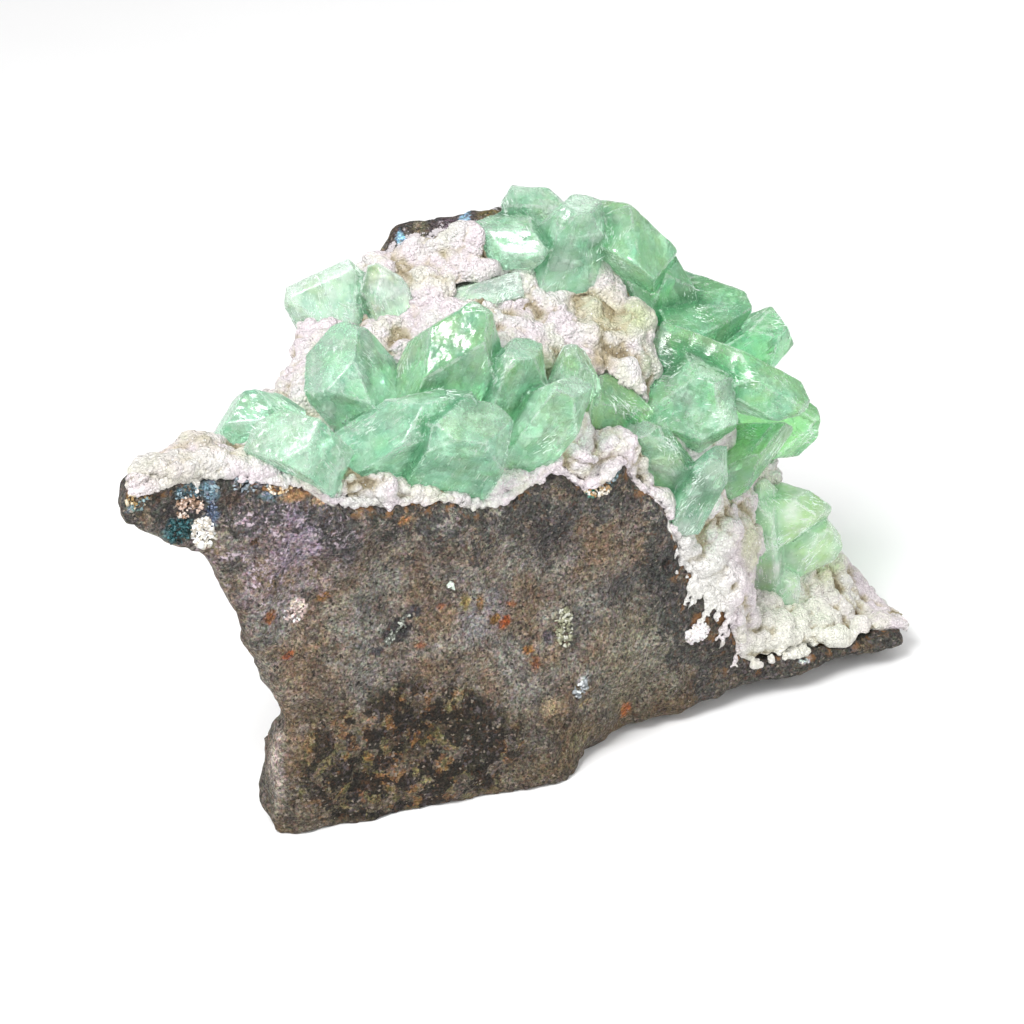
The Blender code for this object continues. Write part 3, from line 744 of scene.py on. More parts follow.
@dataclass(frozen=True)
class ApophylliteFinish:
    """Green apophyllite: see-through under milky veils, with frosted streaks, pearly blunt ends, worn edges with a
    painted highlight, and painted shade where crystals meet.
    """

    groups: SharedGroups
    name: str
    mint: str = "#acdcc3"
    leaf: str = "#b5dca2"
    teal: str = "#8accb8"
    milk: str = "#dff2e5"
    vein: str = "#6cb48b"
    seam_shade: str = "#4b9569"
    frost: str = "#fdfffd"
    passed: str = "#b8c4bc"
    transmission: float = 0.73
    index: float = 1.535
    absorption: Triple = (0.30, 0.95, 0.62)
    density: float = 27.0

    def body(self, finish: Finish, tone: Sequence[Socket], striped: Socket) -> None:
        """Paints the crystal itself, with its veils and veins, and a painted shade where it meets a neighbour.

        Args:
            finish: The finish being made.
            tone: How yellow, milky and frosted the crystal is.
            striped: The place, stretched along the crystal.
        """
        wiring, place = finish.wiring, finish.place
        hue = wiring.ramp(wiring.noise(place, 5.0, 3.0, 0.6), 0.35, 0.65, -0.35, 0.35)
        finish.colour = wiring.mix(wiring.plus(tone[0], hue), self.mint, self.leaf)
        finish.lay(finish.patches(4.0, 0.55, 0.07, (2.0, 6.0, 4.0)), self.teal, 0.5)
        veil = wiring.ramp(wiring.noise(place, 3.5, 5.0, 0.7), 0.36, 0.64, 0.1, 1.3)
        finish.lay(wiring.times(tone[1], veil), self.milk, 0.85)
        ridge = wiring.off_middle(wiring.noise(striped, 1.6, 4.0, 0.7))
        finish.lay(wiring.ramp(ridge, 0.014, 0.003, 0.0, 0.4), self.vein)
        # Painted shade where the crystal meets a neighbour: darker green the closer the seam.
        finish.lay(wiring.ramp(finish.layer(Layer.SEAM), 2.6, 0.1, 0.0, 0.85), self.seam_shade)

    def frosting(self, finish: Finish, amount: Socket, striped: Socket) -> Socket:
        """Where the surface is frosted white: streaks and flecks in patches, worn edges with a painted highlight along
        them, blunt ends.

        Args:
            finish: The finish being made.
            amount: How frosted the crystal is.
            striped: The place, stretched along the crystal.

        Returns:
            The mask.
        """
        wiring, place = finish.wiring, finish.place
        streaks = wiring.ramp(wiring.noise(striped, 0.5, 3.0, 0.75), 0.56, 0.64)
        flecks = wiring.ramp(wiring.noise(place, 0.8, 4.0, 0.8), 0.58, 0.66)
        both = wiring.larger(streaks, flecks)
        grouped = wiring.times(both, finish.patches(3.2, 0.5, 0.06, (5.0, 1.0, 2.0)))
        frosted = wiring.times(grouped, wiring.plus(amount, 0.25))
        broken = wiring.ramp(wiring.noise(place, 1.1, 4.0, 0.8), 0.42, 0.6, 0.1, 1.0)
        # White along the edges: partly wear, partly a painted edge highlight.
        edge_wear_and_highlight = wiring.times(wiring.ramp(finish.layer(Layer.EDGE), 0.4, 0.1, 0.0, 0.8), broken)
        pearl = wiring.times(finish.layer(Layer.PEARL), 0.6)
        edge_wear_and_highlight = wiring.larger(edge_wear_and_highlight, wiring.times(pearl, wiring.ramp(both, 0.0, 1.0, 0.5, 1.0)))
        return wiring.larger(frosted, edge_wear_and_highlight)

    def make(self) -> bpy.types.Material:
        """Builds the material."""
        finish = Finish(self.name, self.groups)
        wiring, place = finish.wiring, finish.place
        tone = wiring.parts(finish.layer(Layer.TONE))
        striped = wiring.vector(finish.layer(Layer.GROWTH), (1.0, 1.0, 0.14))
        frosted = self.frosting(finish, tone[2], striped)
        self.body(finish, tone, striped)
        finish.lay(frosted, self.frost)
        rough = wiring.ramp(wiring.noise(place, 1.2, 3.0, 0.7), 0.35, 0.65, 0.07, 0.22)
        lines = wiring.times(wiring.noise(striped, 0.7, 1.0, 0.5), 0.7)
        relief = wiring.plus(lines, wiring.noise(place, 2.4, 2.0, 0.5))
        finish.set(Base_Color=finish.colour, Roughness=wiring.plus(rough, wiring.times(frosted, 0.3)),
                   Normal=finish.bump(relief, 0.25, 0.42), Transmission_Weight=self.transmission, IOR=self.index)
        feeds = {"Color": (*self.absorption, 1.0), "Density": self.density}
        wiring.feed(finish.output.inputs["Volume"], wiring.add("ShaderNodeVolumeAbsorption", feeds))
        finish.lets_lamps_in(self.passed)
        return finish.material


@dataclass(frozen=True)
class VeilFinish:
    """A healed crack inside a crystal: a thin pearly film with holes in it."""

    colour: str = "#f4fff8"
    strongest: float = 0.55

    def make(self) -> bpy.types.Material:
        """Builds the material."""
        finish = Finish("pearly_veil")
        cloud = finish.wiring.noise(finish.place, 2.0, 5.0, 0.7)
        finish.set(Base_Color=shade(self.colour), Roughness=finish.wiring.ramp(cloud, 0.3, 0.7, 0.2, 0.5),
                   Alpha=finish.wiring.ramp(cloud, 0.45, 0.66, 0.0, self.strongest))
        return finish.material


@dataclass(frozen=True)
class FrostFinish:
    """White scratches and splinters on the faces of the crystals."""

    colour: str = "#fbfffc"
    faint: str = "#dff5e8"

    def make(self) -> bpy.types.Material:
        """Builds the material."""
        finish = Finish("white_frost")
        cloud = finish.wiring.noise(finish.place, 0.4, 2.0, 0.6)
        finish.set(Base_Color=finish.wiring.mix(cloud, self.faint, self.colour), Roughness=0.35)
        return finish.material


# ---------------------------------------------------------------- basalt and crust


@dataclass
class BasaltMatrix:
    """The loose block of basalt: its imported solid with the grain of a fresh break."""

    cell: float = 0.62
    rounding: int = 6
    bands: tuple[tuple[float, float], ...] = ((7.0, 0.4), (2.6, 0.36), (1.3, 0.3))
    back: tuple[tuple[float, float], ...] = ((17.0, 1.9), (8.0, 1.1))
    pit_spacing: float = 6.5
    pit_radius: float = 1.1

    def behind(self, point: Vector, normal: Vector, room: float) -> float:
        """The coarser relief of the hidden back and flank, which dies out towards the crust."""
        share = step(-normal.dot(FACE_OUT), 0.0, 0.8) * step(room, 1.0, 7.0) * step(point.z, 0.5, 6.0)
        return share * sum(amount * (1.0 - 3.0 * abs(noise.noise(point / size))) for size, amount in self.back)

    def relief(self, point: Vector) -> float:
        """How far the broken surface stands out at a point."""
        height = sum(amount * noise.noise(point / size) for size, amount in self.bands)
        distances, centres = noise.voronoi(point / self.pit_spacing)
        radius = self.pit_radius * max(0.0, noise.cell(centres[0] * 7.3))
        depth = radius ** 2 - (distances[0] * self.pit_spacing) ** 2
        return height - (math.sqrt(depth) if depth > 0 else 0.0)

    def build(self, material: bpy.types.Material, crusts: BVHTree, crystals: BVHTree) -> bpy.types.Object:
        """Builds the piece.

        Args:
            material: The basalt finish.
            crusts: Where the crust lies, for the darker rind beside it.
            crystals: Where the crystals stand, for the white felt that lines the hollows of their roots.

        Returns:
            The finished piece.
        """
        mesh = smoothed(remeshed(merged_copy("basalt_matrix"), self.cell), self.rounding)
        rooms = [min(crusts.find_nearest(vert.co)[3], crystals.find_nearest(vert.co)[3]) for vert in mesh.verts]
        heights = [0.0 if vert.normal.z < -0.9 and vert.co.z < 0.3
                   else self.relief(vert.co) + self.behind(vert.co, vert.normal, room)
                   for vert, room in zip(mesh.verts, rooms)]
        raised(mesh, heights)
        for vert in mesh.verts:
            vert.co.z = max(0.0, vert.co.z)
        carry(mesh, Layer.RIND, (crusts.find_nearest(vert.co)[3] for vert in mesh.verts))
        carry(mesh, Layer.POCKET, (crystals.find_nearest(vert.co)[3] for vert in mesh.verts))
        return placed("basalt_block", mesh, material, ["basalt_matrix"])


@dataclass
class MordeniteCrust:
    """One sheet of mordenite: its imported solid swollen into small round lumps.

    Lumps holds the width and height of each kind of lump, felt is the height of the nap, warp how far
    the lumps are bent out of round, seed the pattern they are bent by, and folds the spacing and depth
    of the drapes of the right foot.
    """

    node: str
    cell: float = 0.32
    rounding: int = 3
    swell: float = 0.45
    lumps: tuple[tuple[float, float], ...] = ((5.8, 1.5), (2.9, 0.75), (1.5, 0.28))
    felt: float = 0.2
    warp: float = 1.2
    seed: int = 7
    folds: tuple[float, float] = (5.3, 1.1)
    # The drapes are full where x and z lie between the second numbers, and gone at the first.
    draped: tuple[tuple[float, float], ...] = ((34, 40), (59, 55), (27, 21))

    def fold(self, point: Vector, normal: Vector) -> float:
        """How deep a point lies between the drapes of the right foot: below 0 on a crest, above in a gap."""
        left, right, upper = self.draped
        share = step(point.x, *left) * step(point.x, *right) * step(point.z, *upper) * step(normal.z, -0.1, 0.4)
        turn = point.dot(FACE_ALONG) / self.folds[0] + 0.7 * noise.noise(point / 7)
        return share * (0.5 - abs(math.sin(math.pi * turn)))

    def build(self, material: bpy.types.Material) -> bpy.types.Object:
        """Builds the piece in the mordenite finish."""
        noise.seed_set(self.seed)  # Without a seed, the vector noise starts from the clock.
        mesh = smoothed(remeshed(merged_copy(self.node), self.cell), self.rounding)
        heights = []
        hollows = []
        for vert in mesh.verts:
            bent = vert.co + self.warp * noise.noise_vector(vert.co / 4)
            tops = [bubble(bent, size) for size, _ in self.lumps]
            height = self.swell + sum(amount * (top - 0.65) for top, (_, amount) in zip(tops, self.lumps))
            fold = self.fold(vert.co, vert.normal)
            heights.append(height + self.felt * noise.noise(vert.co / 0.6) - self.folds[1] * fold)
            # How deep a point lies between the lumps and in the drapes, where the felt's finish paints its shade.
            hollows.append(1.0 - (0.4 * tops[0] + 0.45 * tops[1] + 0.15 * tops[2]) + 0.5 * max(0.0, fold))
        raised(mesh, heights)
        carry(mesh, Layer.HOLLOW, hollows)
        for vert in mesh.verts:
            vert.co.z = max(0.05, vert.co.z)
        return placed(self.node.replace("crust", "felt"), mesh, material, [self.node])


@dataclass
class Fringe:
    """The torn lower edge of the crust: a felt that runs down the broken front in ragged tongues.

    Reach is how far a tongue runs down in a gentle and in a steep place, tuft the size of a tuft at its
    root and at its tip, gap the widest step from crust to rock, and nap the size and height of the felt.
    """

    spacing: float = 0.45
    # The columns of the search run along the front from the first to the second of span, up to top,
    # and look at it from eye millimetres in front of its plane.
    span: tuple[float, float] = (-24.0, 98.0)
    rise: float = 0.4
    top: float = 88.0
    eye: float = 60.0
    deepest: float = 75.0
    # The edge hangs down steeply where x lies between the second numbers.
    steep: tuple[tuple[float, float], ...] = ((12, 24), (36, 31))
    cell: float = 0.24
    reach: tuple[float, float] = (0.9, 4.6)
    tuft: tuple[float, float] = (0.85, 0.36)
    gap: float = 4.0
    nap: tuple[tuple[float, float], ...] = ((1.5, 0.3), (0.6, 0.26))
    seed: int = 11

    def rims(self, cover: BVHTree, rock: BVHTree) -> list[tuple[Vector, Vector]]:
        """Finds where the crust and the crystals end on the broken front.

        Args:
            cover: The crust and the crystals.
            rock: The basalt.

        Returns:
            The lowest covered point in each column, and the point of bare rock just under it.
        """
        found = []
        left, right = self.span
        for column in range(int((right - left) / self.spacing)):
            foot = CORNER + FACE_ALONG * (column * self.spacing + left) + FACE_OUT * self.eye
            above = None
            for level in range(round(self.top / self.rise), 2, -1):
                start = foot + Vector((0, 0, level * self.rise))
                stone = rock.ray_cast(start, -FACE_OUT)
                felt = cover.ray_cast(start, -FACE_OUT)
                covered = felt[0] is not None and (stone[0] is None or felt[3] < stone[3])
                bare = stone[0] is not None and stone[3] < self.deepest and not covered
                if above and bare and (above - stone[0]).length < self.gap:
                    found.append((above, stone[0]))
                above = felt[0] if covered else None
        return found

    def tongue(self, point: Vector) -> tuple[float, Vector]:
        """How far the felt runs down from a point of the edge, and in which direction."""
        left, right = self.steep
        steep = step(point.x, *left) * step(point.x, *right)
        share = max(0.0, 0.42 + 1.5 * noise.noise(point / 3.0) + 0.5 * noise.noise(point / 1.1))
        tilt = 0.45 * steep + 0.8 * noise.noise(point / 3.1 + Vector((9, 0, 0)))
        down = Vector((0, 0, -1)) - FACE_ALONG * tilt
        return 0.2 + (self.reach[0] + (self.reach[1] - self.reach[0]) * steep) * share, down.normalized()

    def build(self, material: bpy.types.Material, rims: Sequence[tuple[Vector, Vector]],
              rock: BVHTree) -> bpy.types.Object:
        """Lays tufts down the tongues and felts them into one skin.

        Args:
            material: The finish of the felt.
            rims: The points of the edge on the crust and on the rock.
            rock: The basalt that the felt lies on.

        Returns:
            The finished piece.
        """
        draw = Random(self.seed)
        whole = bmesh.new()
        for upper, point in rims:
            length, down = self.tongue(point)
            steps = 2 + int(length / 0.4)
            spots = [(upper.lerp(point, part), self.tuft[0] * draw.uniform(0.5, 1.0)) for part in (0.0, 0.35, 0.7)]
            for number in range(steps):
                share = number / steps
                jump = FACE_ALONG * draw.gauss(0, 0.2)
                spot = rock.find_nearest(point + down * length * share + jump)[0] + FACE_OUT * draw.uniform(0, 0.25)
                spots.append((spot, self.tuft[0] + (self.tuft[1] - self.tuft[0]) * share))
            for spot, size in spots:
                bmesh.ops.create_icosphere(whole, subdivisions=1, radius=size * draw.uniform(0.45, 1.2),
                                           matrix=Matrix.Translation(spot))
        mesh = smoothed(remeshed(whole, self.cell), 1)
        raised(mesh, [sum(amount * noise.noise(vert.co / size) for size, amount in self.nap) for vert in mesh.verts])
        # The fringe has no lumps to measure, so the felt's painted hollow shade falls on it at random.
        carry(mesh, Layer.HOLLOW, (0.3 + 0.5 * noise.noise(vert.co / 1.5) for vert in mesh.verts))
        return placed("mordenite_fringe", mesh, material)


@dataclass(frozen=True)
class Druse:
    """A small patch of crystal grains set in the broken front, as wide and high as reach says.

    Lean turns the patch in the face, in degrees, and dome is how far its middle stands out.
    """

    centre: Triple
    reach: tuple[float, float]
    grains: int
    size: tuple[float, float]
    colours: tuple[str, ...]
    lean: float = 0.0
    dome: float = 0.0

    def fill(self, whole: Mesh, rock: BVHTree, draw: Random) -> None:
        """Adds the grains of this patch.

        Args:
            whole: The mesh of all the patches.
            rock: The basalt that they grow on.
            draw: Where the random numbers come from.
        """
        turn = math.radians(self.lean)
        for _ in range(self.grains):
            angle, share = draw.uniform(0, math.tau), math.sqrt(draw.random())
            wide = self.reach[0] * share * math.cos(angle)
            high = self.reach[1] * share * math.sin(angle)
            across = wide * math.cos(turn) - high * math.sin(turn)
            up = wide * math.sin(turn) + high * math.cos(turn)
            spot = Vector(self.centre) + FACE_ALONG * across + Vector((0, 0, up))
            hit = rock.ray_cast(spot + FACE_OUT * 8, -FACE_OUT)[0]
            if hit is None:
                continue
            radius = draw.uniform(*self.size)
            grain = bmesh.new()
            bmesh.ops.create_cone(grain, cap_ends=True, segments=draw.choice((4, 5, 6)), radius1=radius,
                                  radius2=radius * draw.uniform(0.1, 0.6), depth=radius * draw.uniform(1.2, 3.0))
            carry(grain, Layer.TONE, [shade(draw.choice(self.colours))[:3]] * len(grain.verts))
            way = Vector([draw.gauss(0, 1) for _ in range(3)]) + FACE_OUT
            spin = way.to_track_quat("Z", "Y").to_matrix().to_4x4()
            hit = hit + FACE_OUT * self.dome * (1 - share * share)
            bmesh.ops.transform(grain, matrix=Matrix.Translation(hit) @ spin, verts=grain.verts)
            added(whole, grain)


@dataclass
class Fillings:
    """The small cavities and gas bubbles of the broken front that are lined or filled with crystals."""

    seed: int = 5
    patches: tuple[Druse, ...] = (
        Druse((-51.3, -40.6, 58.9), (1.7, 2.6), 130, (0.25, 0.6), ("#f6f2ea", "#e8e2d6", "#ffffff", "#cfc6b8")),
        Druse((-53.2, -41.2, 63.9), (2.3, 1.9), 90, (0.16, 0.45), ("#d8bfb0", "#b08f78", "#ecdcd0", "#7c6450")),
        Druse((-52.3, -41, 66.3), (3.4, 1.1), 80, (0.14, 0.42), ("#6c8b98", "#46626c", "#93aab4", "#2c3e44")),
        Druse((-54.8, -42, 60.4), (2, 2.2), 90, (0.14, 0.42), ("#2c585c", "#1c3c3c", "#41747a", "#141f1e")),
        Druse((-50, -39.9, 61.8), (0.7, 2.4), 46, (0.12, 0.36), ("#51617e", "#74829c", "#2e3a50", "#8a8f9c")),
        Druse((-44, -36.6, 65.6), (3.2, 1.7), 100, (0.14, 0.42), ("#84909a", "#9ba7ae", "#5f5b57", "#b8aa94")),
        Druse((-40, -35.4, 64.2), (2.4, 1.5), 80, (0.14, 0.4), ("#b08a58", "#d0b48c", "#e6d9c8", "#7d5630")),
        Druse((-60.2, -45, 67.2), (1.8, 1.5), 60, (0.14, 0.4), ("#cfc2a8", "#a08352", "#8ba5a8", "#5a4e40")),
        Druse((9.8, -11, 52.6), (2, 1.7), 70, (0.14, 0.42), ("#93adb5", "#647f88", "#3b5654", "#b6bec4")),
        Druse((8.2, -12.3, 50.2), (2.2, 0.8), 50, (0.14, 0.38), ("#ece6da", "#f8f6f0", "#c8b89c", "#b08d62")),
        Druse((3.1, -16.9, 27.2), (1.4, 3.4), 90, (0.22, 0.45), ("#a3a387", "#bcbca4", "#85856b", "#d2d2c4"), dome=0.1),
        Druse((5.6, -17.7, 15.9), (1.7, 1.6), 44, (0.2, 0.42), ("#a5abaf", "#dfe3e5", "#7d8488", "#8f9598")),
        Druse((-23.4, -28.4, 34.1), (3.1, 0.95), 52, (0.18, 0.38), ("#8b8f84", "#bcc0b6", "#4d4f49", "#6f736a"),
              lean=47),
        Druse((25.3, -3.8, 18.1), (2, 1.8), 130, (0.3, 0.55), ("#faf4f5", "#f3e9ec", "#ffffff", "#efe9e2"), dome=1.1),
        Druse((-38.6, -34, 41), (2.4, 1.8), 26, (0.15, 0.3), ("#f0dfd8", "#e2c9c4", "#ffffff")),
        Druse((-14.8, -24.4, 39.6), (0.5, 0.6), 6, (0.3, 0.5), ("#cfe6cf", "#e8f5e8")),
    )

    def build(self, material: bpy.types.Material, rock: BVHTree) -> bpy.types.Object:
        """Builds all the patches as one piece.

        Args:
            material: The finish of the grains.
            rock: The basalt that they grow on.

        Returns:
            The finished piece.
        """
        draw = Random(self.seed)
        whole = bmesh.new()
        whole.verts.layers.float_vector.new(Layer.TONE.value)
        for patch in self.patches:
            patch.fill(whole, rock, draw)
        return placed("vug_crystals", whole, material)


# ---------------------------------------------------------------- crystals


@dataclass(frozen=True)
class Crystal:
    """One crystal: where it stands, its shape, and how green, milky and frosted it is.

    The point is that of its pyramid, measured from the corner of the broken front; heading, lift
    and turn are in degrees. Widths are half-widths of the prism, offsets move its pyramid faces
    off the point, and cap is the depth of its blunt end.
    """

    point: Triple
    heading: float
    lift: float
    turn: float
    widths: tuple[float, float]
    offsets: tuple[float, float]
    cap: float
    length: float
    tone: Triple

    def axes(self) -> np.ndarray:
        """The crystal's own directions as the columns of a matrix, the long axis last."""
        heading, lift, turn = (math.radians(angle) for angle in (self.heading, self.lift, self.turn))
        axis = Vector((math.sin(heading) * math.cos(lift), -math.cos(heading) * math.cos(lift), math.sin(lift)))
        side = Vector((0, 0, 1)).cross(axis).normalized()
        other = axis.cross(side)
        across = side * math.cos(turn) + other * math.sin(turn)
        along = other * math.cos(turn) - side * math.sin(turn)
        return np.array((across, along, axis)).T

    def local(self, points: np.ndarray) -> np.ndarray:
        """Points of the row frame in the crystal's own directions, from its point."""
        return (points - np.array(self.point) - np.array(CORNER)) @ self.axes()

    def planes(self) -> tuple[np.ndarray, np.ndarray]:
        """The normals of the faces in the crystal's own directions, and how far from its point they lie."""
        slope, rise, half = math.sin(PYRAMID), math.cos(PYRAMID), math.sqrt(0.5)
        normals = []
        distances = []
        for side in (1, -1):
            normals += [(side * slope, 0, rise), (0, side * slope, rise)]
            normals += [(side * half, side * half, 0), (side * half, -side * half, 0)]
            distances += [*self.offsets, *self.widths]
        normals += [(0, 0, 1), (0, 0, -1)]
        distances += [-self.cap, self.length]
        return np.array(normals), np.array(distances)

    def outside(self, local: np.ndarray) -> np.ndarray:
        """How far each point lies outside each of the crystal's faces; below 0 inside, a row for a face."""
        normals, distances = self.planes()
        return normals @ local.T - distances[:, None]

    def cross_section(self, through: Vector, normal: Vector, margin: float) -> Mesh:
        """Slices the crystal.

        Args:
            through: A point of the slice, in the crystal's own directions.
            normal: The slice's normal.
            margin: How far inside the faces the slice ends.

        Returns:
            The slice as a flat mesh in the row frame.
        """
        mesh = bmesh.new()
        bmesh.ops.create_grid(mesh, x_segments=1, y_segments=1, size=40)
        turn = normal.to_track_quat("Z", "Y").to_matrix().to_4x4()
        bmesh.ops.transform(mesh, matrix=Matrix.Translation(through) @ turn, verts=mesh.verts)
        for way, distance in zip(*self.planes()):
            geometry = list(mesh.verts) + list(mesh.edges) + list(mesh.faces)
            bmesh.ops.bisect_plane(mesh, geom=geometry, plane_co=Vector(way) * (distance - margin),
                                   plane_no=Vector(way), clear_outer=True)
        place = Matrix(self.axes().tolist()).to_4x4()
        bmesh.ops.transform(mesh, matrix=Matrix.Translation(Vector(self.point) + CORNER) @ place, verts=mesh.verts)
        return mesh


@dataclass
class CrystalCluster:
    """Crystals that have grown into one another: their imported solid, with worn edges and growth lines.

    Line is the size of a growth line across and along its crystal, and ridges its height; dimple and
    dimples are those of a soft dent. Apart keeps the lines of neighbours from matching, and uneven is
    how far the tone of one face may be off its crystal's.
    """

    node: str
    crystals: tuple[Crystal, ...]
    look: Look = Look.MINT
    cell: float = 0.32
    rounding: int = 3
    ridges: float = 0.07
    line: tuple[float, float] = (0.9, 9.0)
    dimples: float = 0.10
    dimple: float = 2.2
    apart: float = 31.0
    uneven: Triple = (0.25, 0.4, 0.25)

    def face_tones(self) -> list[list[Vector]]:
        """The tone of each face of each crystal: its crystal's own, a little off."""
        draw = Random(self.node)
        return [[Vector(crystal.tone) + Vector([draw.uniform(-span, span) for span in self.uneven])
                 for _ in range(FACES)] for crystal in self.crystals]

    def relief(self, point: Vector, own: Vector, owner: int) -> float:
        """How far the surface stands out.

        Args:
            point: The place in the row frame.
            own: The same place in its crystal's own directions.
            owner: The number of its crystal.

        Returns:
            The height, in millimetres.
        """
        wide, long = self.line
        lines = noise.noise(Vector((own.x / wide, own.y / wide, own.z / long + 5 * owner)))
        return self.ridges * lines + self.dimples * noise.noise(point / self.dimple)

    def build(self, material: bpy.types.Material) -> bpy.types.Object:
        """Builds the piece in the crystal finish."""
        mesh = smoothed(remeshed(merged_copy(self.node), self.cell), self.rounding)
        points = np.array([vert.co for vert in mesh.verts])
        places = [crystal.local(points) for crystal in self.crystals]
        faces = [crystal.outside(place) for crystal, place in zip(self.crystals, places)]
        ordered = [np.sort(rows, axis=0) for rows in faces]
        gaps = np.abs([rows[-1] for rows in ordered])
        # Each point belongs to the crystal whose surface is nearest, and to the outermost face there.
        owners = np.argmin(gaps, axis=0)
        owned = [Vector(places[owner][number]) for number, owner in enumerate(owners)]
        fronts = [int(np.argmax(faces[owner][:, number])) for number, owner in enumerate(owners)]
        edges = (ordered[owner][-1][number] - ordered[owner][-2][number] for number, owner in enumerate(owners))
        tones = self.face_tones()
        carry(mesh, Layer.GROWTH, (own + Vector((self.apart * owner, 0, 0)) for own, owner in zip(owned, owners)))
        carry(mesh, Layer.TONE, (tones[owner][face] for face, owner in zip(fronts, owners)))
        carry(mesh, Layer.EDGE, edges)
        carry(mesh, Layer.PEARL, (float(face == BLUNT_END) for face in fronts))
        carry(mesh, Layer.SEAM, np.sort(np.vstack([gaps, np.full(len(points), FAR)]), axis=0)[1])
        raised(mesh, [self.relief(vert.co, *pair) for vert, *pair in zip(mesh.verts, owned, owners)])
        return placed(self.node.replace("apophyllite", "crystals"), mesh, material, [self.node])


@dataclass
class Veils:
    """Pearly healed cracks inside the crystals, most of them across the long axis as the mineral cleaves."""

    each: int = 3
    margin: float = 0.9
    seed: int = 3

    def build(self, material: bpy.types.Material, crystals: Iterable[Crystal]) -> bpy.types.Object:
        """Builds all the veils as one piece in the veil finish."""
        draw = Random(self.seed)
        whole = bmesh.new()
        for crystal in crystals:
            for _ in range(self.each):
                depth = -draw.uniform(2.0, min(9.0, crystal.length * 0.6))
                way = Vector((draw.gauss(0, 0.6), draw.gauss(0, 0.6), draw.choice((1.0, 0.15))))
                added(whole, crystal.cross_section(Vector((0, 0, depth)), way.normalized(), self.margin))
        return placed("crystal_veils", whole, material)


@dataclass
class Frost:
    """White splinters and scratches in groups on the faces, along the crystal.

    They keep clear of the rock and the crust, and a group's middle lies within skin of a face of its
    crystal, in as many tries for each group as tries says.
    """

    groups: int = 6
    splinters: tuple[int, int] = (8, 36)
    length: tuple[float, float] = (0.35, 2.2)
    width: tuple[float, float] = (0.035, 0.11)
    spread: float = 1.0
    clear: float = 1.2
    skin: float = 0.35
    tries: int = 6
    seed: int = 21

    def build(self, material: bpy.types.Material, pieces: Sequence[bpy.types.Object], rock: BVHTree,
              crusts: BVHTree) -> bpy.types.Object:
        """Builds all the splinters as one piece.

        Args:
            material: The frost finish.
            pieces: The finished crystal clusters, in the order of CLUSTERS.
            rock: The basalt, which the splinters keep clear of.
            crusts: The crust, which they keep clear of too.

        Returns:
            The finished piece.
        """
        draw = Random(self.seed)
        whole = bmesh.new()
        for piece, cluster in zip(pieces, CLUSTERS):
            skin = opened(piece)
            tree = BVHTree.FromBMesh(skin)
            points = [vert.co.copy() for vert in skin.verts]
            skin.free()
            for crystal in cluster.crystals:
                axis = Vector(crystal.axes()[:, 2])
                wanted = round(self.groups * (0.3 + crystal.tone[2]))
                for _ in range(wanted * self.tries):
                    middle = draw.choice(points)
                    gap = abs(np.max(crystal.outside(crystal.local(np.array([middle])))))
                    if gap > self.skin or wanted <= 0:
                        continue
                    if min(rock.find_nearest(middle)[3], crusts.find_nearest(middle)[3]) < self.clear:
                        continue
                    wanted -= 1
                    tilt = draw.gauss(0, 0.5)
                    for _ in range(draw.randint(*self.splinters)):
                        jump = Vector([draw.gauss(0, self.spread) for _ in range(3)])
                        spot, normal, _, _ = tree.find_nearest(middle + jump)
                        way = axis - normal * axis.dot(normal) + normal.cross(axis) * (tilt + draw.gauss(0, 0.15))
                        added(whole, self.splinter(spot, normal, way.normalized(), draw))
        return placed("crystal_frost", whole, material)

    def splinter(self, spot: Vector, normal: Vector, way: Vector, draw: Random) -> Mesh:
        """One flat splinter lying on a face.

        Args:
            spot: Its middle.
            normal: The face's normal.
            way: Its direction.
            draw: Where the random numbers come from.

        Returns:
            Its mesh.
        """
        mesh = bmesh.new()
        width = draw.uniform(*self.width)
        bmesh.ops.create_cone(mesh, cap_ends=True, segments=4, radius1=width, radius2=width * 0.2,
                              depth=draw.uniform(*self.length) * draw.random())
        side = normal.cross(way).normalized()
        turn = Matrix((side, way.cross(side), way)).transposed().to_4x4()
        bmesh.ops.transform(mesh, matrix=Matrix.Translation(spot) @ turn, verts=mesh.verts)
        return mesh


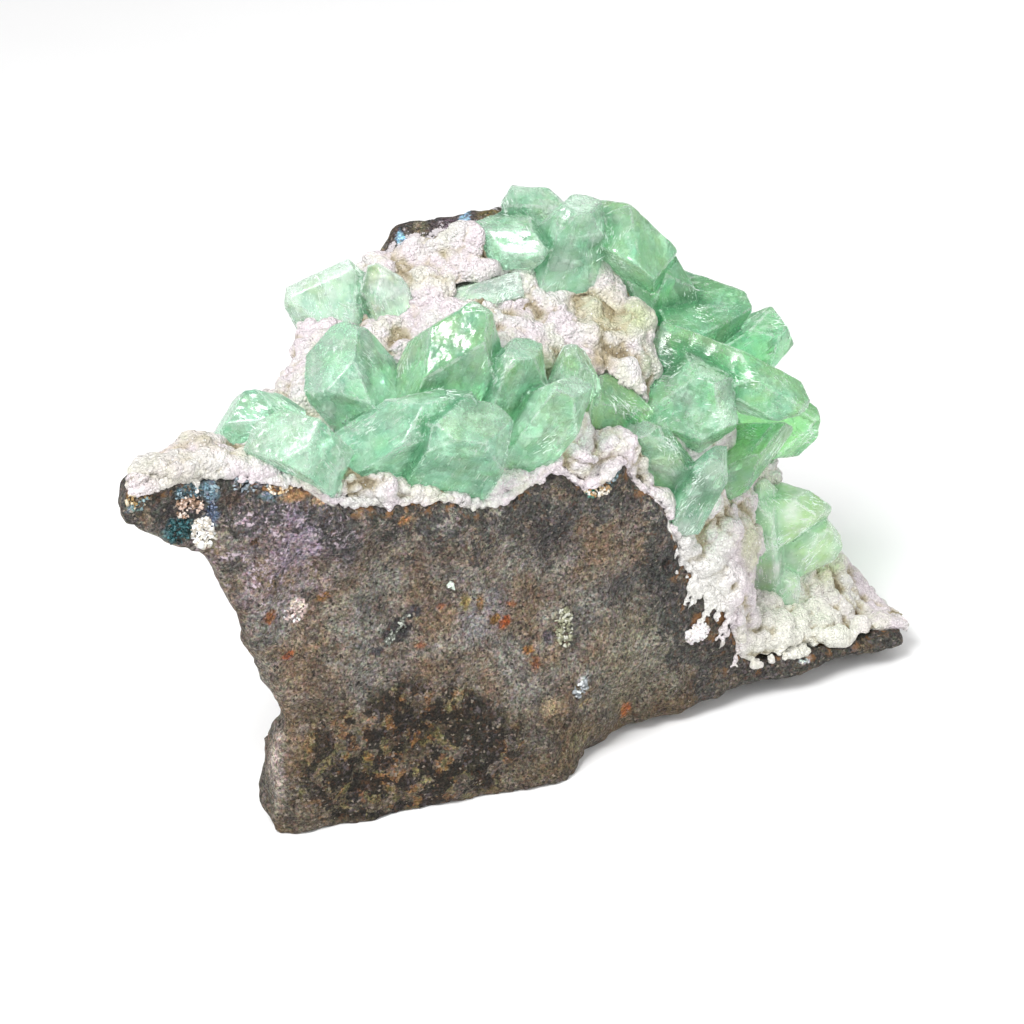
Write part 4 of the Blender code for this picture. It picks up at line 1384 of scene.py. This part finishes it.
# What each look changes in the common mint finish.
GREENS: dict[Look, dict[str, object]] = {
    Look.MINT: {},
    Look.DEEP: {"density": 48.0, "mint": "#9ad6ae", "leaf": "#98d498"},
    Look.PALE: {"density": 11.0, "mint": "#cdebdb", "leaf": "#dcefb6", "milk": "#f2fbf4", "passed": "#d0dad3",
                "transmission": 0.66},
    Look.FRESH: {"density": 10.0, "mint": "#d2f0da", "leaf": "#c3eaa2", "teal": "#c3ead8", "milk": "#fbfff9",
                 "vein": "#a8dab6", "seam_shade": "#a9d8b2", "passed": "#e2efe3", "transmission": 0.54},
    Look.LEAFY: {"density": 18.0, "mint": "#aee6ba", "leaf": "#a9e69a", "passed": "#cbe8cd"},
}
CLUSTERS = (
    CrystalCluster("apophyllite_centre", (
        Crystal((31, 16, 71.5), 92, 34, 80, (6, 4.5), (0.5, 0.5), 0.5, 22, (0.25, 0.5, 0.9)),
        Crystal((32, 10.5, 72), 42, 56, 16, (4, 7), (3, 1.5), 3.5, 21, (0.35, 0.6, 0.5)),
        Crystal((32, 28, 81.5), 106, 64, 50, (6.5, 5), (1, 0.5), 1, 22, (0.7, 0.35, 0.35)),
        Crystal((38.5, 28, 74.5), 102, 72, 156, (3.5, 5), (3.5, 1.5), 1, 18, (0.6, 0.4, 0.4)),
        Crystal((46.5, 23.5, 70), 88, 56, 152, (3.5, 4.5), (4, 1), 1, 18, (0.45, 1.0, 0.5)),
    )),
    CrystalCluster("apophyllite_left", (
        Crystal((7.5, 18.5, 78), -52, 56, 90, (6.5, 4.5), (4.5, 3), 2, 18, (0.3, 0.45, 0.5)),
    )),
    CrystalCluster("apophyllite_ledge", (
        Crystal((-7.5, 14, 69.5), -92, 34, 136, (4, 6), (3, 2.5), 0.5, 11, (0.3, 0.8, 0.4)),
        Crystal((1.5, 0, 74), -26, 48, 132, (5, 4), (2.5, 4.5), 2, 16, (0.35, 0.85, 0.7)),
    )),
    CrystalCluster("apophyllite_shoulder", (
        Crystal((5.5, 39.5, 80.5), -52, 66, 154, (5.5, 5), (1, 4.5), 0.5, 12, (0.4, 1.0, 1.0)),
        Crystal((14, 40.5, 82.5), -112, 68, 8, (2, 3.5), (0, 0.5), 0.5, 12, (0.5, 0.7, 0.5)),
    ), Look.PALE),
    CrystalCluster("apophyllite_crest", (
        Crystal((48, 50.5, 90), 76, 76, 84, (5, 3), (1, 2), 2, 19, (0.4, 1.4, 0.2)),
        Crystal((42.5, 44, 82), 42, 8, 44, (3.5, 4.5), (0, 0), 1.5, 15, (0.3, 1.0, 1.0)),
        Crystal((35, 58.5, 86.5), -92, 44, 56, (5.5, 2), (0, 1.5), 0.5, 12, (0.4, 0.8, 0.5)),
        Crystal((58.5, 61.5, 82.5), 140, 40, 162, (8, 7.5), (2, 4), 3, 12, (0.7, 0.3, 0.3)),
    )),
    CrystalCluster("apophyllite_right_back", (
        Crystal((76.5, 61, 66), 100, 16, 116, (10, 9.5), (0, 1.5), 0.5, 16, (0.9, 0.05, 0.2)),
        Crystal((58.5, 55, 77.5), -34, 72, 24, (5, 4.5), (1.5, 1.5), 2, 16, (1.0, 0.5, 0.4)),
        Crystal((82.5, 64, 60), 110, 28, 24, (4, 6.5), (2.5, 3), 0.5, 18, (0.9, 0.15, 0.4)),
    ), Look.DEEP),
    CrystalCluster("apophyllite_right_front", (
        Crystal((73, 33, 61), 40, 20, 176, (6.5, 6), (0, 1.5), 3.5, 20, (0.7, 0.5, 1.0)),
        Crystal((85, 37, 57.5), 56, -6, 92, (7.5, 4), (0, 0.5), 1.5, 28, (0.8, 0.4, 0.7)),
    )),
    CrystalCluster("apophyllite_right_low", (
        Crystal((83, 49.5, 48.5), 90, 34, 50, (3, 6.5), (0, 2), 0.5, 15, (0.9, 0.2, 0.4)),
        Crystal((90, 63, 41.5), 96, 0, 18, (5.5, 3.5), (1, 1.5), 1, 17, (0.9, 0.1, 0.3)),
    ), Look.LEAFY),
    CrystalCluster("apophyllite_edge", (
        Crystal((54.5, 31.5, 58.5), -72, 56, 108, (2, 4.5), (1, 1.5), 2.5, 19, (0.6, 0.4, 0.5)),
        Crystal((70, 32, 54), 74, 68, 0, (2, 3.5), (3, 0), 1.5, 18, (0.35, 0.6, 0.7)),
        Crystal((49.5, 34, 63.5), -64, 60, 144, (2.5, 5.5), (3.5, 0), 1, 12, (0.7, 0.2, 0.4)),
    )),
    CrystalCluster("apophyllite_faint", (
        Crystal((45.5, 32.5, 72.5), -44, 84, 44, (3.5, 3), (0, 0.5), 1.5, 13, (0.8, 0.7, 0.3)),
    )),
    CrystalCluster("apophyllite_slab", (
        Crystal((25, 40, 75), -60, 0, 72, (2, 2), (0, 0), 0.5, 14, (0.3, 1.0, 1.0)),
    ), Look.PALE),
    CrystalCluster("apophyllite_foot", (
        Crystal((79, 54.5, 35.5), -96, 84, 38, (2, 3.5), (0, 0.5), 0.5, 25, (0.5, 1.0, 0.9)),
        Crystal((92, 57.5, 27), 96, 0, 44, (5, 4), (0, 1.5), 0.5, 15, (1.0, 0.7, 0.5)),
        Crystal((93, 58.5, 22.5), 80, 28, 28, (5, 4.5), (1, 2.5), 0.5, 13, (0.9, 0.4, 0.5)),
        Crystal((84.5, 52.5, 18.5), 44, 84, 18, (2, 2), (0.5, 0.5), 1.5, 9, (0.5, 1.0, 0.8)),
    ), Look.FRESH),
)


# ---------------------------------------------------------------- light, floor and camera


@dataclass
class Studio:
    """A plain pale floor under soft light, and the camera."""

    aim: Triple = (-5.41, -11.36, 45.6)
    distance: float = 455.11
    elevation: float = 30.0
    lens: float = 100.0
    floor_size: float = 4000.0
    sky: float = 0.5
    noise: float = 0.09
    bounces: int = 8
    lamps: tuple[tuple[str, Triple, float, float], ...] = (
        ("key", (-230, -330, 560), 260, 4.6),
        ("fill", (420, -300, 260), 400, 1.1),
        ("back", (150, 420, 420), 300, 0.7),
    )

    def floor(self) -> None:
        """Lays the floor under the specimen."""
        mesh = bmesh.new()
        bmesh.ops.create_grid(mesh, x_segments=8, y_segments=8, size=self.floor_size / 2 * MM)
        data = bpy.data.meshes.new("floor")
        mesh.to_mesh(data)
        mesh.free()
        made = bpy.data.objects.new("floor", data)
        bpy.context.scene.collection.objects.link(made)
        finish = Finish("pale_floor")
        cloud = finish.wiring.noise(finish.place, 60.0, 2.0, 0.5)
        finish.set(Base_Color=finish.wiring.mix(cloud, "#f4f4f4", "#f8f8f8"), Roughness=0.9)
        data.materials.append(finish.material)

    def lamp(self, name: str, place: Triple, size: float, power: float) -> None:
        """Hangs a square soft lamp that faces the specimen, with place and size in millimetres."""
        lamp = bpy.data.lights.new(name, "AREA")
        lamp.size = size * MM
        lamp.energy = power
        made = bpy.data.objects.new(name, lamp)
        made.location = Vector(place) * MM
        made.rotation_mode = "QUATERNION"
        made.rotation_quaternion = (Vector(self.aim) - Vector(place)).to_track_quat("-Z", "Y")
        bpy.context.scene.collection.objects.link(made)

    def build(self) -> None:
        """Sets up the floor, the light and the camera."""
        self.floor()
        scene = bpy.context.scene
        world = bpy.data.worlds.new("studio")
        world.use_nodes = True
        world.node_tree.nodes["Background"].inputs["Color"].default_value = (1.0, 1.0, 1.0, 1.0)
        world.node_tree.nodes["Background"].inputs["Strength"].default_value = self.sky
        scene.world = world
        for lamp in self.lamps:
            self.lamp(*lamp)
        tilt = math.radians(self.elevation)
        back = Vector((0.0, -math.cos(tilt), math.sin(tilt)))
        camera = bpy.data.objects.new("camera", bpy.data.cameras.new("camera"))
        camera.data.lens = self.lens
        camera.data.clip_start = 0.01
        camera.location = (Vector(self.aim) + back * self.distance) * MM
        camera.rotation_mode = "QUATERNION"
        camera.rotation_quaternion = (-back).to_track_quat("-Z", "Y")
        scene.collection.objects.link(camera)
        scene.camera = camera
        scene.view_settings.view_transform = "Standard"
        scene.cycles.use_denoising = True
        scene.cycles.use_adaptive_sampling = True
        scene.cycles.adaptive_threshold = self.noise
        scene.cycles.max_bounces = self.bounces
        scene.cycles.diffuse_bounces = 2
        scene.cycles.glossy_bounces = 2
        scene.cycles.transmission_bounces = self.bounces - 1


def main() -> None:
    """Builds every piece of the specimen in order, then the studio."""
    logging.basicConfig(level=logging.INFO, format="%(name)s: %(message)s")
    crust_nodes = sorted(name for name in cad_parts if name.startswith("mordenite"))
    groups = SharedGroups()
    crusts = tree_of(merged_copy(name) for name in crust_nodes)
    rock = tree_of([merged_copy("basalt_matrix")])
    crystals = tree_of(merged_copy(cluster.node) for cluster in CLUSTERS)
    felt = MordeniteFinish(groups).make()
    sheets = [MordeniteCrust(name).build(felt) for name in crust_nodes]
    fringe = Fringe()
    cover = tree_of(merged_copy(name) for name in (*crust_nodes, *(cluster.node for cluster in CLUSTERS)))
    rims = fringe.rims(cover, rock)
    LOG.info("crust edge: %d points", len(rims))
    sheets.append(fringe.build(felt, rims, rock))
    white = tree_of(opened(sheet) for sheet in sheets)
    BasaltMatrix().build(BasaltFinish(groups).make(), white, crystals)
    Fillings().build(GrainFinish().make(), rock)
    looks = {look: ApophylliteFinish(groups, look.value, **values).make() for look, values in GREENS.items()}
    pieces = [cluster.build(looks[cluster.look]) for cluster in CLUSTERS]
    Veils().build(VeilFinish().make(), (crystal for cluster in CLUSTERS for crystal in cluster.crystals))
    Frost().build(FrostFinish().make(), pieces, rock, crusts)
    Studio().build()


if __name__ == "__main__":
    main()
